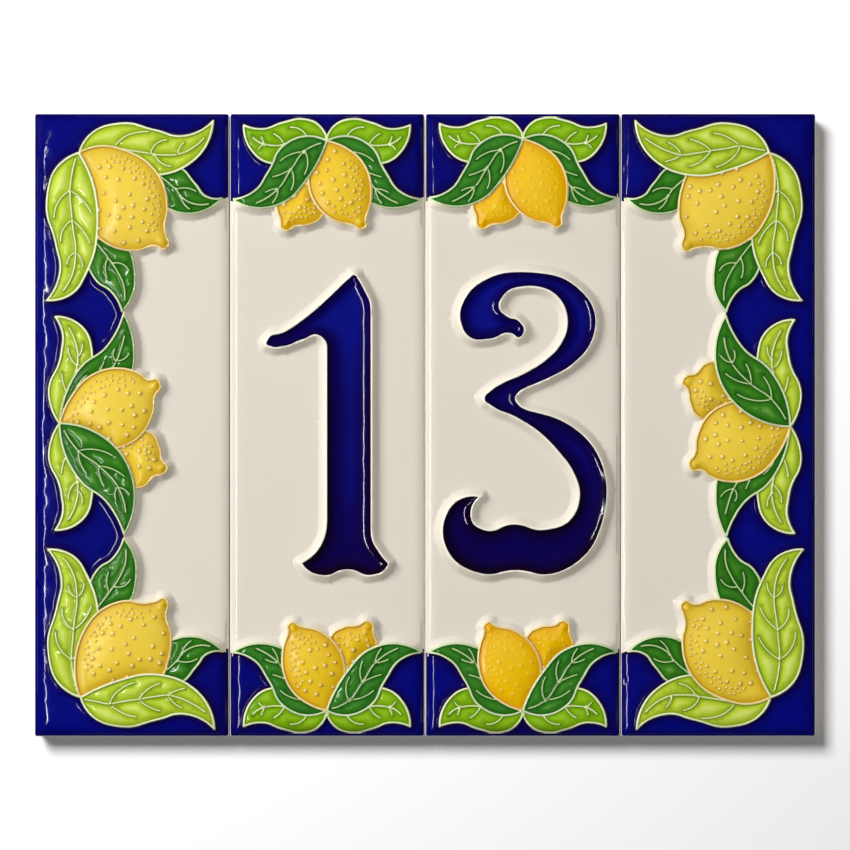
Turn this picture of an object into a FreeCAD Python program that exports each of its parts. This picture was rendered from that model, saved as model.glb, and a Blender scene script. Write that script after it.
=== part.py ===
import FreeCAD, Part
import math
import os
from collections import namedtuple
from FreeCAD import Vector

# House number plaque: four press-moulded relief tiles that stand side by side on a wall.
# A tile is modelled lying on its back, with x to the right, y up the wall and z out of its face,
# and is then stood up. In the finished model the wall is the plane Y = 0, the faces look along -Y
# and +Z is up. The origin is the middle of the plaque, on the wall. All sizes are millimetres.

# The slab of one tile
TILE_WIDTH = 50.0
TILE_HEIGHT = 160.0
TILE_THICKNESS = 8.0
JOINT_GAP = 0.2
EDGE_ROUND = 0.8

# The keying channels pressed into the back
CHANNEL_COUNT = 3
CHANNEL_WIDTH = 7.0
CHANNEL_DEPTH = 0.8
CHANNEL_PITCH = 14.0
CHANNEL_END_WALL = 10.0

# The relief: each motif stands on a drafted mound, and a thin ridge runs round a sunken pool of glaze
MOUND_HEIGHT = 1.7
MOUND_DRAFT = 1.1
DIGIT_HEIGHT = 1.9
DIGIT_DRAFT = 1.0
RIDGE_WIDTH = 0.6
POOL_DEPTH = 0.4
MIDRIB_WIDTH = 0.7
LEMON_RISE = 1.5
LEMON_SIDES = 16
RIM_DRAFT = 1.5

# Curves are cut into straight facets that stay this close to them, and a sharp corner's mitre is split
# so that no piece of it turns by more than this
FACET_ERROR = 0.14
MITRE_TURN = 1.1

# Where the clusters' bases stand, from the edges of their tile
CORNER_FROM_SIDE = 11.7
CORNER_FROM_END = 10.4
LOWER_LEAF_SHIFT = 0.35
MIDDLE_FROM_SIDE = 6.8
MIDDLE_ABOVE_CENTRE = 0.4
NUMBER_FROM_END = 6.9
DIGIT_1_TOP_DROP = 0.4

# Outlines are drawn along the middle of their ridges, as smooth runs of knots from the cluster's base.
# A leaf has a base, a tip, and the knots of its two sides and of its midrib.
Leaf = namedtuple("Leaf", "base side_a tip side_b midrib")

# A lemon is one smooth run, closed at a point that its neighbours hide, with a low dome: its middle and
# the radius of its foot.
Lemon = namedtuple("Lemon", "run dome dome_radius")

HANGING_LEAF = Leaf(
    (0.0, 0.0),
    [(-5.0, -3.0), (-8.3, -13.0), (-5.8, -23.5), (-4.7, -29.5)],
    (-8.3, -37.7),
    [(-3.0, -36.7), (2.9, -28.5), (4.8, -17.5), (3.5, -7.5)],
    [(-0.8, -1.5), (-2.1, -8.0), (-1.6, -18.0), (-0.8, -25.5), (-1.6, -31.0), (-4.0, -35.3)],
)

REACHING_LEAF = Leaf(
    (0.2, 0.2),
    [(3.0, 4.8), (11.5, 7.7), (19.5, 5.9), (26.0, 4.3)],
    (34.3, 8.3),
    [(32.6, 2.0), (26.5, -3.8), (19.5, -5.7), (8.0, -3.5)],
    [(8.0, 1.7), (16.4, 0.2), (22.0, -0.5), (26.0, -0.2), (29.0, 1.2), (32.1, 3.9)],
)

SIDE_DARK_LEAF = Leaf(
    (18.5, -3.5),
    [(26.0, -3.8), (29.8, -7.9), (32.4, -11.0)],
    (36.5, -11.5),
    [(34.0, -13.8), (28.5, -15.5), (23.0, -14.2)],
    [(20.5, -5.8), (24.7, -9.2), (26.6, -11.5), (29.5, -13.0), (33.1, -13.0)],
)

LOW_DARK_LEAF = Leaf(
    (4.0, -20.5),
    [(2.2, -27.0), (4.6, -32.7), (8.4, -35.5)],
    (11.1, -40.5),
    [(13.9, -36.0), (14.4, -31.0), (12.0, -23.5)],
    [(4.7, -23.2), (7.8, -27.2), (10.0, -30.5), (11.5, -34.0), (11.7, -37.6)],
)

UPPER_LEMON = Lemon(
    [(0.0, 0.0), (5.5, 1.8), (12.0, 0.6), (18.0, -2.8), (21.8, -8.5), (22.7, -14.5), (22.0, -19.5),
     (22.6, -21.6), (23.1, -23.4), (22.2, -24.5), (19.6, -23.7), (15.0, -24.9), (9.5, -24.2),
     (4.9, -21.4), (0.6, -12.0), (0.0, 0.0)],
    (12.3, -11.8), 11.5,
)

LOWER_LEMON = Lemon(
    [(0.2, -0.3), (-1.0, -7.5), (0.8, -15.8), (5.3, -21.9), (11.5, -24.5), (17.4, -24.0),
     (19.6, -24.4), (21.9, -25.2), (22.9, -23.8), (22.3, -21.2), (23.6, -16.0), (23.2, -10.3),
     (20.5, -4.0), (12.0, 1.0), (0.2, -0.3)],
    (12.0, -12.5), 11.5,
)

MIDDLE_LIGHT_LEAF = Leaf(
    (0.0, 0.0),
    [(-2.8, 7.4), (0.4, 17.6), (0.8, 23.1)],
    (-1.1, 27.3),
    [(5.6, 24.8), (8.4, 16.0), (3.4, 4.2)],
    [(2.3, 24.6), (4.0, 21.0), (4.7, 17.5), (4.0, 12.5), (1.5, 6.5)],
)

MIDDLE_UPPER_DARK_LEAF = Leaf(
    (0.0, 0.0),
    [(1.3, 6.6), (5.0, 13.8), (12.5, 20.2)],
    (16.4, 28.2),
    [(19.0, 20.0), (17.2, 9.4), (8.5, 1.9)],
    [(16.6, 22.4), (15.8, 19.5), (14.4, 15.7), (11.5, 12.0)],
)

MIDDLE_LOWER_DARK_LEAF = Leaf(
    (0.0, 0.0),
    [(1.0, -6.6), (5.0, -14.2), (12.5, -20.6)],
    (16.5, -28.4),
    [(19.2, -20.0), (16.8, -9.4), (8.5, -1.9)],
    [(1.2, -1.9), (4.8, -7.0), (10.2, -11.0), (15.0, -16.4), (16.9, -22.8)],
)

MIDDLE_LEMON = Lemon(
    [(0.0, 0.0), (2.6, 6.2), (7.7, 12.0), (14.0, 14.1), (20.3, 12.8), (22.9, 11.1), (25.0, 11.3),
     (25.9, 9.4), (24.5, 7.2), (23.9, 2.7), (21.1, -2.8), (14.4, -6.4), (5.0, -5.6), (0.0, 0.0)],
    (13.0, 4.0), 10.5,
)

MIDDLE_SMALL_LEMON = Lemon(
    [(12.5, -9.5), (15.0, -3.8), (19.5, -1.8), (23.7, -2.6), (25.8, -6.8), (26.2, -9.4),
     (27.6, -11.3), (26.5, -13.0), (24.5, -13.4), (21.5, -16.2), (16.0, -15.4), (12.5, -9.5)],
    (19.5, -9.0), 7.2,
)

NUMBER_LIGHT_LEAF = Leaf(
    (0.0, 0.6),
    [(-7.0, -3.0), (-15.3, -5.4), (-19.9, -1.4)],
    (-21.3, 4.1),
    [(-16.5, 3.1), (-11.2, 4.8), (-6.7, 5.8), (-2.3, 4.3)],
    [(-19.0, 1.0), (-17.2, -0.4), (-14.5, -1.1), (-10.5, -0.9)],
)

NUMBER_DARK_LEAF = Leaf(
    (0.0, 0.0),
    [(-4.8, -9.4), (-10.5, -15.4), (-17.5, -17.2)],
    (-24.3, -14.8),
    [(-18.5, -12.8), (-14.8, -7.6), (-11.5, -1.6), (-5.5, 1.2)],
    [(-1.6, -0.6), (-5.6, -2.5), (-9.1, -7.2), (-12.5, -12.3), (-17.9, -15.8)],
)

NUMBER_LEMON = Lemon(
    [(0.0, 0.0), (4.5, -1.6), (8.8, -5.0), (11.3, -11.0), (11.1, -16.5), (9.9, -20.3), (10.0, -21.8),
     (8.9, -22.6), (6.8, -21.6), (2.5, -20.6), (-2.0, -17.2), (-4.5, -12.0), (-4.0, -6.0), (0.0, 0.0)],
    (3.9, -11.2), 9.2,
)

NUMBER_SMALL_LEMON = Lemon(
    [(-2.5, -14.0), (-7.0, -10.5), (-11.8, -13.0), (-12.8, -17.2), (-11.9, -20.2), (-11.7, -22.2),
     (-10.4, -23.0), (-8.2, -21.9), (-4.5, -21.4), (-1.4, -19.5), (-2.5, -14.0)],
    (-6.9, -16.3), 6.8,
)

# The digits, about the middle of their tile: smooth runs that meet at corners
DIGIT_1 = [
    [(16.0, -35.4), (13.3, -32.1), (11.9, -29.6), (11.5, -26.5), (11.5, -25.5), (11.5, 27.6), (11.5, 28.6),
     (11.2, 31.6), (9.9, 34.4), (8.3, 37.4), (7.2, 39.0)],
    [(7.2, 39.0), (1.3, 33.6), (-4.7, 28.3), (-10.8, 24.1), (-15.2, 22.2), (-15.7, 20.7), (-14.2, 19.8),
     (-11.0, 19.9), (-6.0, 21.7), (-2.3, 22.8), (-0.4, 21.0), (-0.2, 18.5), (-0.2, 17.5), (-0.2, -23.5),
     (-0.2, -24.5), (-0.8, -28.6), (-3.1, -32.6), (-6.7, -35.2)],
    [(-6.7, -35.2), (-4.6, -37.6), (-1.1, -38.7), (5.2, -37.2), (11.6, -38.6), (14.6, -37.5), (16.0, -35.4)],
]

DIGIT_3 = [
    [(-10.7, -18.3), (-13.1, -21.8), (-12.6, -25.0), (-9.7, -26.7), (-2.5, -25.2), (5.5, -26.6),
     (11.6, -24.4), (14.3, -17.5), (12.9, -11.6), (7.0, -3.3), (-0.7, 1.5), (-6.5, 3.9), (-9.9, 6.4),
     (-7.0, 9.9), (0.3, 13.1), (7.0, 17.7), (11.1, 25.0), (8.6, 32.8), (1.6, 35.3), (-4.8, 33.0),
     (-5.9, 30.0), (-4.0, 28.0), (-1.0, 26.8), (0.5, 24.2), (-0.6, 22.3), (-3.5, 23.3), (-8.4, 21.8),
     (-13.5, 22.1), (-16.3, 27.0), (-14.1, 33.9), (-8.4, 38.0), (2.0, 39.3), (12.2, 36.7),
     (18.7, 28.0), (17.4, 20.8), (10.1, 13.9), (1.4, 9.7), (-1.6, 6.9), (0.8, 4.4), (8.0, 2.1),
     (15.8, -2.3), (20.6, -10.5), (20.9, -23.4), (15.8, -33.7), (7.0, -38.4), (-1.7, -37.4),
     (-10.5, -38.3), (-18.6, -33.7), (-20.4, -24.4), (-16.4, -18.9), (-10.7, -18.3)],
]


Arc = namedtuple("Arc", "start end centre sweep")
UP = Vector(0, 0, 1)


def turned(direction):
    """The direction a quarter turn to the left of this one."""
    return Vector(-direction.y, direction.x, 0)


def travel(a, b, c, at):
    """Direction of travel at one of three points, on the circle through them."""
    ab = b - a
    ac = c - a
    cross = ab.x * ac.y - ab.y * ac.x
    if abs(cross) < 1e-6 * ab.Length * ac.Length:
        return ac.normalize()
    centre_x = (ac.y * ab.dot(ab) - ab.y * ac.dot(ac)) / (2 * cross)
    centre_y = (ab.x * ac.dot(ac) - ac.x * ab.dot(ab)) / (2 * cross)
    way = turned(at - a - Vector(centre_x, centre_y, 0)).normalize()
    return way if cross > 0 else way.negative()


def arc_leaving(start, way, end):
    """The arc that leaves its start along a given way."""
    chord = end - start
    bend = 2 * chord.dot(turned(way)) / chord.dot(chord)
    if abs(bend) * chord.Length < 1e-6:
        return Arc(start, end, None, 0.0)
    centre = start + turned(way) / bend
    sweep = 2 * math.asin(max(-1.0, min(1.0, bend * chord.Length / 2)))
    if chord.dot(way) < 0:
        sweep = math.copysign(2 * math.pi, sweep) - sweep
    return Arc(start, end, centre, sweep)


def smooth_run(knots):
    """Arcs through the knots that leave each other in line, two arcs to a span."""
    points = [Vector(x, y, 0) for x, y in knots]
    last = len(points) - 1
    if last == 1:
        return [Arc(points[0], points[1], None, 0.0)]
    ways = []
    for i, point in enumerate(points):
        middle = min(max(i, 1), last - 1)
        ways.append(travel(points[middle - 1], points[middle], points[middle + 1], point))
    arcs = []
    for start, end, way, next_way in zip(points, points[1:], ways, ways[1:]):
        chord = end - start
        both = way + next_way
        spread = 2 * (1 - way.dot(next_way))
        along = chord.dot(both)
        if spread < 1e-9:
            reach = chord.dot(chord) / (2 * along)
        else:
            reach = (math.sqrt(along ** 2 + spread * chord.dot(chord)) - along) / spread
        near = start + way * reach
        far = end - next_way * reach
        joint = (near + far) / 2
        arcs.append(arc_leaving(start, way, joint))
        arcs.append(arc_leaving(joint, (far - near).normalize(), end))
    return arcs


def sampled(arc):
    """Points along an arc from its start, close enough to stand for it."""
    if arc.centre is None:
        return [arc.start]
    spoke = arc.start - arc.centre
    steps = math.ceil(abs(arc.sweep) * math.sqrt(spoke.Length / FACET_ERROR))
    turns = [FreeCAD.Rotation(UP, math.degrees(arc.sweep * i / steps)) for i in range(steps)]
    return [arc.centre + turn.multVec(spoke) for turn in turns]


def thinned(points):
    """The fewest of these points, ends kept, whose straight runs stay within the facet error of the rest."""
    first, last = points[0], points[-1]
    chord = last - first
    offs = [chord.cross(point - first).Length / chord.Length if chord.Length > 0 else (point - first).Length
            for point in points[1:-1]]
    if not offs or max(offs) <= FACET_ERROR:
        return [first, last]
    split = offs.index(max(offs)) + 1
    return thinned(points[:split + 1])[:-1] + thinned(points[split:])


def facets(knots):
    """Corners of the straight facets that follow a smooth run of knots."""
    arcs = smooth_run(knots)
    return thinned([point for arc in arcs for point in sampled(arc)] + [arcs[-1].end])


def outline(runs):
    """The corners of a closed outline, taken anticlockwise."""
    points = [point for run in runs for point in facets(run)[:-1]]
    area = sum(a.x * b.y - b.x * a.y for a, b in zip(points, points[1:] + points[:1]))
    return points if area > 0 else points[::-1]


def grown(points, distance, splits=True):
    """Corners at a distance outside an anticlockwise outline; a sharp corner's mitre is split in pieces."""
    result = []
    for before, point, after in zip(points[-1:] + points[:-1], points, points[1:] + points[:1]):
        way = (point - before).normalize()
        onward = (after - point).normalize()
        turn = math.atan2(way.x * onward.y - way.y * onward.x, way.dot(onward))
        pieces = math.ceil(turn / MITRE_TURN) if splits and turn > MITRE_TURN else 1
        reach = distance / math.cos(turn / (2 * pieces))
        for i in range(pieces):
            lean = FreeCAD.Rotation(UP, math.degrees(turn * (i + 0.5) / pieces))
            result.append(point - lean.multVec(turned(way)) * reach)
    return result


def flat_face(points, height):
    """A flat face with these corners at a height."""
    raised = [point + UP * height for point in points]
    return Part.Face(Part.makePolygon(raised + raised[:1]))


def stacked(rings, heights):
    """A solid with flat sides between rings that have the same number of corners."""
    faces = [flat_face(rings[0], heights[0]), flat_face(rings[-1], heights[-1])]
    for low, high, low_height, high_height in zip(rings, rings[1:], heights, heights[1:]):
        lower = [point + UP * low_height for point in low]
        upper = [point + UP * high_height for point in high]
        for i in range(len(low)):
            side = [lower[i - 1], lower[i], upper[i], upper[i - 1], lower[i - 1]]
            faces.append(Part.Face(Part.makePolygon(side)))
    skin = Part.Compound(faces)
    skin.sewShape()
    solid = Part.Solid(skin.Shells[0])
    return solid if solid.Volume > 0 else solid.reversed()


def rib(knots):
    """The flat area of a midrib: as wide as it should be at its root, and pointed at its far end."""
    line = facets(knots)
    left = []
    right = []
    for i, point in enumerate(line[:-1]):
        way = (line[i + 1] - line[max(i - 1, 0)]).normalize()
        half = MIDRIB_WIDTH / 2 * (1 - 0.5 * i / len(line))
        left.append(point + turned(way) * half)
        right.append(point - turned(way) * half)
    return flat_face(right + [line[-1]] + left[::-1], 0)


def dome(middle, radius):
    """A low dome with flat sides that stands on the floor of its pool."""
    floor = TILE_THICKNESS + MOUND_HEIGHT - POOL_DEPTH
    centre = Vector(middle[0], middle[1], 0)
    rings = []
    heights = []
    for level in (0.0, 0.45, 0.8, 1.0):
        spread = radius * math.sqrt(1 - level * 0.94)
        angles = [2 * math.pi * i / LEMON_SIDES for i in range(LEMON_SIDES)]
        rings.append([centre + Vector(math.cos(angle), math.sin(angle), 0) * spread for angle in angles])
        heights.append(floor + LEMON_RISE * level)
    return stacked(rings, heights)


class Motif:
    """A leaf, lemon or digit where it stands on the tile, mirrored and moved from its drawing."""

    def __init__(self, drawing, base, mirror_x=1, mirror_y=1, shift=0.0, height=MOUND_HEIGHT, draft=MOUND_DRAFT):
        def put(knots):
            return [(base[0] + mirror_x * (x + shift), base[1] + mirror_y * y) for x, y in knots]

        self.height = height
        self.draft = draft
        self.ribs = []
        self.domes = []
        if isinstance(drawing, Leaf):
            runs = [[drawing.base] + drawing.side_a + [drawing.tip], [drawing.tip] + drawing.side_b + [drawing.base]]
            self.ribs.append(put(drawing.midrib))
        elif isinstance(drawing, Lemon):
            runs = [drawing.run]
            self.domes.append((put([drawing.dome])[0], drawing.dome_radius))
        else:
            runs = drawing
        self.points = outline([put(run) for run in runs])

    def mound(self):
        """The solid under the motif, its sides drafted from foot to crest."""
        foot = grown(self.points, RIDGE_WIDTH / 2 + self.draft)
        crest = grown(self.points, RIDGE_WIDTH / 2)
        return stacked([foot, crest], [TILE_THICKNESS, TILE_THICKNESS + self.height])

    def cover(self, height):
        """The flat area that the motif hides of those behind it."""
        return flat_face(grown(self.points, RIDGE_WIDTH / 2), height)

    def pool(self, height):
        """The flat area inside the motif's ridge."""
        return flat_face(grown(self.points, -RIDGE_WIDTH / 2, splits=False), height)


def relief(motifs):
    """The solid of a cluster: its mounds from back to front, with their pools sunk and their domes raised."""
    cutters = []
    domes = []
    for place, motif in enumerate(motifs):
        floor = TILE_THICKNESS + motif.height - POOL_DEPTH
        hidden = [other.cover(floor) for other in motifs[place + 1:]]
        hidden += [rib(knots).translated(UP * floor) for knots in motif.ribs]
        seen = motif.pool(floor)
        if hidden:
            seen = seen.cut(hidden)
        cutters += [face.extrude(UP * 2 * POOL_DEPTH) for face in seen.Faces]
        if motif.domes:
            column = seen.extrude(UP * 2 * LEMON_RISE)
            domes += [dome(*size).common(column) for size in motif.domes]
    mounds = [motif.mound() for motif in motifs]
    solid = mounds[0].fuse(mounds[1:]) if len(mounds) > 1 else mounds[0]
    solid = solid.cut(cutters)
    if domes:
        solid = solid.fuse(domes)
    return solid.removeSplitter()


def upper_corner(base):
    """The cluster at the top of an end tile, from back to front."""
    drawings = [SIDE_DARK_LEAF, LOW_DARK_LEAF, REACHING_LEAF, UPPER_LEMON, HANGING_LEAF]
    return [Motif(drawing, base) for drawing in drawings]


def lower_corner(base):
    """The cluster at the foot of an end tile: the same leaves upside down, overlapping the other way."""
    return [
        Motif(LOW_DARK_LEAF, base, mirror_y=-1, shift=LOWER_LEAF_SHIFT),
        Motif(SIDE_DARK_LEAF, base, mirror_y=-1, shift=LOWER_LEAF_SHIFT),
        Motif(HANGING_LEAF, base, mirror_y=-1, shift=LOWER_LEAF_SHIFT),
        Motif(LOWER_LEMON, base, mirror_y=-1),
        Motif(REACHING_LEAF, base, mirror_y=-1, shift=LOWER_LEAF_SHIFT),
    ]


def middle_cluster(base):
    """The cluster half way up an end tile, from back to front."""
    return [
        Motif(MIDDLE_LIGHT_LEAF, base),
        Motif(MIDDLE_LIGHT_LEAF, base, mirror_y=-1),
        Motif(MIDDLE_UPPER_DARK_LEAF, base),
        Motif(MIDDLE_SMALL_LEMON, base),
        Motif(MIDDLE_LEMON, base),
        Motif(MIDDLE_LOWER_DARK_LEAF, base),
    ]


def number_cluster(base):
    """The cluster at the top of a digit tile, from back to front."""
    return [
        Motif(NUMBER_LIGHT_LEAF, base),
        Motif(NUMBER_LIGHT_LEAF, base, mirror_x=-1),
        Motif(NUMBER_SMALL_LEMON, base),
        Motif(NUMBER_DARK_LEAF, base, mirror_x=-1),
        Motif(NUMBER_LEMON, base),
        Motif(NUMBER_DARK_LEAF, base),
    ]


def back_channel(offset):
    """One keying channel, as the solid that presses it into the back."""
    half = TILE_HEIGHT / 2 - CHANNEL_END_WALL
    return Part.makeBox(CHANNEL_WIDTH, 2 * half, CHANNEL_DEPTH, Vector(offset - CHANNEL_WIDTH / 2, -half, 0))


def slab():
    """The plain tile: rounded round its front, with its back channelled."""
    box = Part.makeBox(TILE_WIDTH, TILE_HEIGHT, TILE_THICKNESS, Vector(-TILE_WIDTH / 2, -TILE_HEIGHT / 2, 0))
    front = [e for e in box.Edges if e.BoundBox.ZMin > TILE_THICKNESS - 1e-6]
    box = box.makeFillet(EDGE_ROUND, front)
    middle = (CHANNEL_COUNT - 1) / 2
    return box.cut([back_channel((i - middle) * CHANNEL_PITCH) for i in range(CHANNEL_COUNT)])


def mould_room():
    """The room that the mould leaves for relief: it starts at the edge of the flat face and leans in."""
    tall = 2 * DIGIT_HEIGHT
    rings = []
    for inset, height in ((EDGE_ROUND, 0.0), (EDGE_ROUND + RIM_DRAFT, tall)):
        x = TILE_WIDTH / 2 - inset
        y = TILE_HEIGHT / 2 - inset
        z = TILE_THICKNESS + height
        corners = [Vector(-x, -y, z), Vector(x, -y, z), Vector(x, y, z), Vector(-x, y, z)]
        rings.append(Part.makePolygon(corners + corners[:1]))
    return Part.makeLoft(rings, True, True)


def relief_tile(reliefs):
    """A slab with its reliefs, as one solid."""
    room = mould_room()
    trimmed = [solid.common(room) for solid in reliefs]
    return slab().fuse(trimmed).removeSplitter().Solids[0]


def end_tile():
    """The left end tile; the right one is the same tile turned half a turn."""
    corner_x = CORNER_FROM_SIDE - TILE_WIDTH / 2
    corner_y = TILE_HEIGHT / 2 - CORNER_FROM_END
    middle_x = MIDDLE_FROM_SIDE - TILE_WIDTH / 2
    return relief_tile([
        relief(upper_corner((corner_x, corner_y))),
        relief(middle_cluster((middle_x, MIDDLE_ABOVE_CENTRE))),
        relief(lower_corner((corner_x, -corner_y))),
    ])


def digit_tile(digit, cluster, top_drop):
    """A tile with a digit between two clusters, the lower one turned half a turn."""
    upper = cluster.translated(Vector(0, -top_drop, 0))
    lower = cluster.copy()
    lower.rotate(Vector(0, 0, 0), UP, 180)
    raised_digit = relief([Motif(digit, (0.0, 0.0), height=DIGIT_HEIGHT, draft=DIGIT_DRAFT)])
    return relief_tile([upper, lower, raised_digit])


def stood_up(tile, offset):
    """The tile stood against the wall, at an offset from the middle of the row."""
    standing = tile.copy()
    standing.rotate(Vector(0, 0, 0), Vector(1, 0, 0), 90)
    standing.translate(Vector(offset, 0, 0))
    return standing


def main():
    os.makedirs("parts", exist_ok=True)
    left = end_tile()
    right = left.copy()
    right.rotate(Vector(0, 0, 0), UP, 180)
    cluster = relief(number_cluster((0.0, TILE_HEIGHT / 2 - NUMBER_FROM_END)))
    row = [
        ("left_end_tile", left),
        ("digit_1_tile", digit_tile(DIGIT_1, cluster, DIGIT_1_TOP_DROP)),
        ("digit_3_tile", digit_tile(DIGIT_3, cluster, 0.0)),
        ("right_end_tile", right),
    ]
    for place, (name, tile) in enumerate(row):
        offset = (place - (len(row) - 1) / 2) * (TILE_WIDTH + JOINT_GAP)
        stood_up(tile, offset).exportStep("parts/" + name + ".step")
        print(name, "faces", len(tile.Faces), "volume", round(tile.Volume, 1), "valid", tile.isValid())


main()
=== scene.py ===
"""Dresses the house number plaque: four glazed relief tiles that stand side by side on a wall.

A point on a tile's face is a complex number in millimetres. The real part runs to the right and the
imaginary part up the wall, from the middle of the tile. Heights are measured out of the wall.
"""

from __future__ import annotations

import logging
import math
import random
from dataclasses import dataclass, field, replace
from enum import Enum
from typing import Callable, Sequence

import bpy
import numpy as np
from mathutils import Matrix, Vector
from mathutils.geometry import delaunay_2d_cdt
from mathutils.kdtree import KDTree

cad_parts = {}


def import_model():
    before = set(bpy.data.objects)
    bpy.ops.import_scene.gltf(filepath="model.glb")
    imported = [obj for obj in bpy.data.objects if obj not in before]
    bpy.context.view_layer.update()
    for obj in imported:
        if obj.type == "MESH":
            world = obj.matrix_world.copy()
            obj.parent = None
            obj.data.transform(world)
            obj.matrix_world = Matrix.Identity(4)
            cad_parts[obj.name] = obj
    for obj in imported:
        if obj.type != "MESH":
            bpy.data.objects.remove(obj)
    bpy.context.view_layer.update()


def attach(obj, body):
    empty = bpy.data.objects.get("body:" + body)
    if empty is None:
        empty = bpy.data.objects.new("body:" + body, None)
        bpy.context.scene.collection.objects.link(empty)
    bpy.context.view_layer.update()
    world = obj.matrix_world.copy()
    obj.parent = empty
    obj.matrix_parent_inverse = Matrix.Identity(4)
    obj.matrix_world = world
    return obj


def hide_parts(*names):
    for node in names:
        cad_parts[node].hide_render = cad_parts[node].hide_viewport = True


LOG = logging.getLogger("plaque")
MM = 0.001

# The plain gap between two tiles, in millimetres.
JOINT = 0.2
# A distance that counts as far away, and one that counts as nothing, in millimetres.
FAR = 99.0
ON_LINE = 1e-5
# The least turn of a corner that gets a fan of extra points outside it, and the fan's step, in radians.
SHARP_TURN = 0.15
FAN_STEP = 0.35
# How many points are tested against an outline at a time, which keeps the memory small.
BATCH = 4000
# How far from a ridge the glaze that creeps up it starts to bend, in millimetres.
CREEP_EASE = 0.2
# How fast a mound's side falls: one is a straight slope.
FLANK_POWER = 1.3

Points = np.ndarray
Profile = Callable[[np.ndarray], np.ndarray]
Field = tuple[np.ndarray, np.ndarray]
Colour = tuple[float, float, float, float]


def srgb(red: int, green: int, blue: int) -> Colour:
    """Turn a colour as it looks on a screen into a shader's colour.

    Args:
        red: Red, from 0 to 255.
        green: Green, from 0 to 255.
        blue: Blue, from 0 to 255.

    Returns:
        The linear colour with full alpha.
    """
    parts = []
    for value in (red, green, blue):
        share = value / 255
        parts.append(share / 12.92 if share <= 0.04045 else ((share + 0.055) / 1.055) ** 2.4)
    return (parts[0], parts[1], parts[2], 1.0)


def dot(first: complex, second: complex) -> float:
    """The dot product of two plane vectors."""
    return (first.conjugate() * second).real


def unit(angle: float) -> complex:
    """The unit vector at an angle from the right, in radians."""
    return complex(math.cos(angle), math.sin(angle))


@dataclass(frozen=True)
class Arc:
    """One arc, or a straight line where it has no centre."""

    start: complex
    end: complex
    centre: complex | None
    sweep: float

    def way_at(self, point: complex) -> complex:
        """Find the direction of travel.

        Args:
            point: A point of the arc.

        Returns:
            A unit vector.
        """
        if self.centre is None:
            return (self.end - self.start) / abs(self.end - self.start)
        spoke = point - self.centre
        return math.copysign(1.0, self.sweep) * 1j * spoke / abs(spoke)

    def length(self) -> float:
        """The arc's length in millimetres.

        Returns:
            The length.
        """
        if self.centre is None:
            return abs(self.end - self.start)
        return abs(self.start - self.centre) * abs(self.sweep)

    def at(self, share: float) -> complex:
        """Find a point of the arc.

        Args:
            share: How far along the arc it is, from 0 at its start to 1.

        Returns:
            The point.
        """
        if self.centre is None:
            return self.start + (self.end - self.start) * share
        return self.centre + (self.start - self.centre) * unit(self.sweep * share)

    def nearest(self, points: Points) -> tuple[Points, Points]:
        """Find the nearest place on the arc.

        Args:
            points: The points to look from.

        Returns:
            The nearest places, and the direction to the right of travel there.
        """
        if self.centre is None:
            way = (self.end - self.start) / abs(self.end - self.start)
            along = np.clip((np.conj(way) * (points - self.start)).real, 0, self.length())
            return self.start + along * way, np.full(points.shape, -1j * way)
        spoke = self.start - self.centre
        sign = math.copysign(1.0, self.sweep)
        span = abs(self.sweep)
        turn = np.mod(np.angle((points - self.centre) * np.conj(spoke)) * sign, 2 * math.pi)
        turn = np.where(turn <= span, turn, np.where(turn < (span + 2 * math.pi) / 2, span, 0.0))
        radial = np.exp(1j * sign * turn) * spoke
        return self.centre + radial, sign * radial / abs(spoke)


def travel(first: complex, second: complex, third: complex, at: complex) -> complex:
    """Find the direction of travel at one of three points, on the circle through them.

    Args:
        first: Where the circle's stretch starts.
        second: A point on the way.
        third: Where the stretch ends.
        at: The one of the three to take the direction at.

    Returns:
        A unit vector.
    """
    near, far = second - first, third - first
    cross = (near.conjugate() * far).imag
    if abs(cross) < 1e-6 * abs(near) * abs(far):
        return far / abs(far)
    centre = first + 1j * (near * abs(far) ** 2 - far * abs(near) ** 2) / (2 * cross)
    way = 1j * (at - centre) / abs(at - centre)
    return way if cross > 0 else -way


def arc_leaving(start: complex, way: complex, end: complex) -> Arc:
    """Draw the arc that leaves its start along a given way.

    Args:
        start: Where it starts.
        way: The way it leaves, a unit vector.
        end: Where it ends.

    Returns:
        The arc.
    """
    chord = end - start
    bend = 2 * dot(chord, 1j * way) / abs(chord) ** 2
    if abs(bend) * abs(chord) < 1e-6:
        return Arc(start, end, None, 0.0)
    sweep = 2 * math.asin(max(-1.0, min(1.0, bend * abs(chord) / 2)))
    if dot(chord, way) < 0:
        sweep = math.copysign(2 * math.pi, sweep) - sweep
    return Arc(start, end, start + 1j * way / bend, sweep)


def smooth_run(knots: Sequence[complex]) -> list[Arc]:
    """Draw arcs through knots that leave each other in line, two arcs to a span.

    Args:
        knots: The points that the run goes through.

    Returns:
        The arcs in order.
    """
    last = len(knots) - 1
    if last == 1:
        return [Arc(knots[0], knots[1], None, 0.0)]
    ways = []
    for place, knot in enumerate(knots):
        middle = min(max(place, 1), last - 1)
        ways.append(travel(knots[middle - 1], knots[middle], knots[middle + 1], knot))
    arcs = []
    for start, end, way, next_way in zip(knots, knots[1:], ways, ways[1:]):
        chord = end - start
        along = dot(chord, way + next_way)
        spread = 2 * (1 - dot(way, next_way))
        if spread < 1e-9:
            reach = abs(chord) ** 2 / (2 * along)
        else:
            reach = (math.sqrt(along**2 + spread * abs(chord) ** 2) - along) / spread
        near, far = start + way * reach, end - next_way * reach
        joint = (near + far) / 2
        arcs.append(arc_leaving(start, way, joint))
        arcs.append(arc_leaving(joint, (far - near) / abs(far - near), end))
    return arcs


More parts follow.
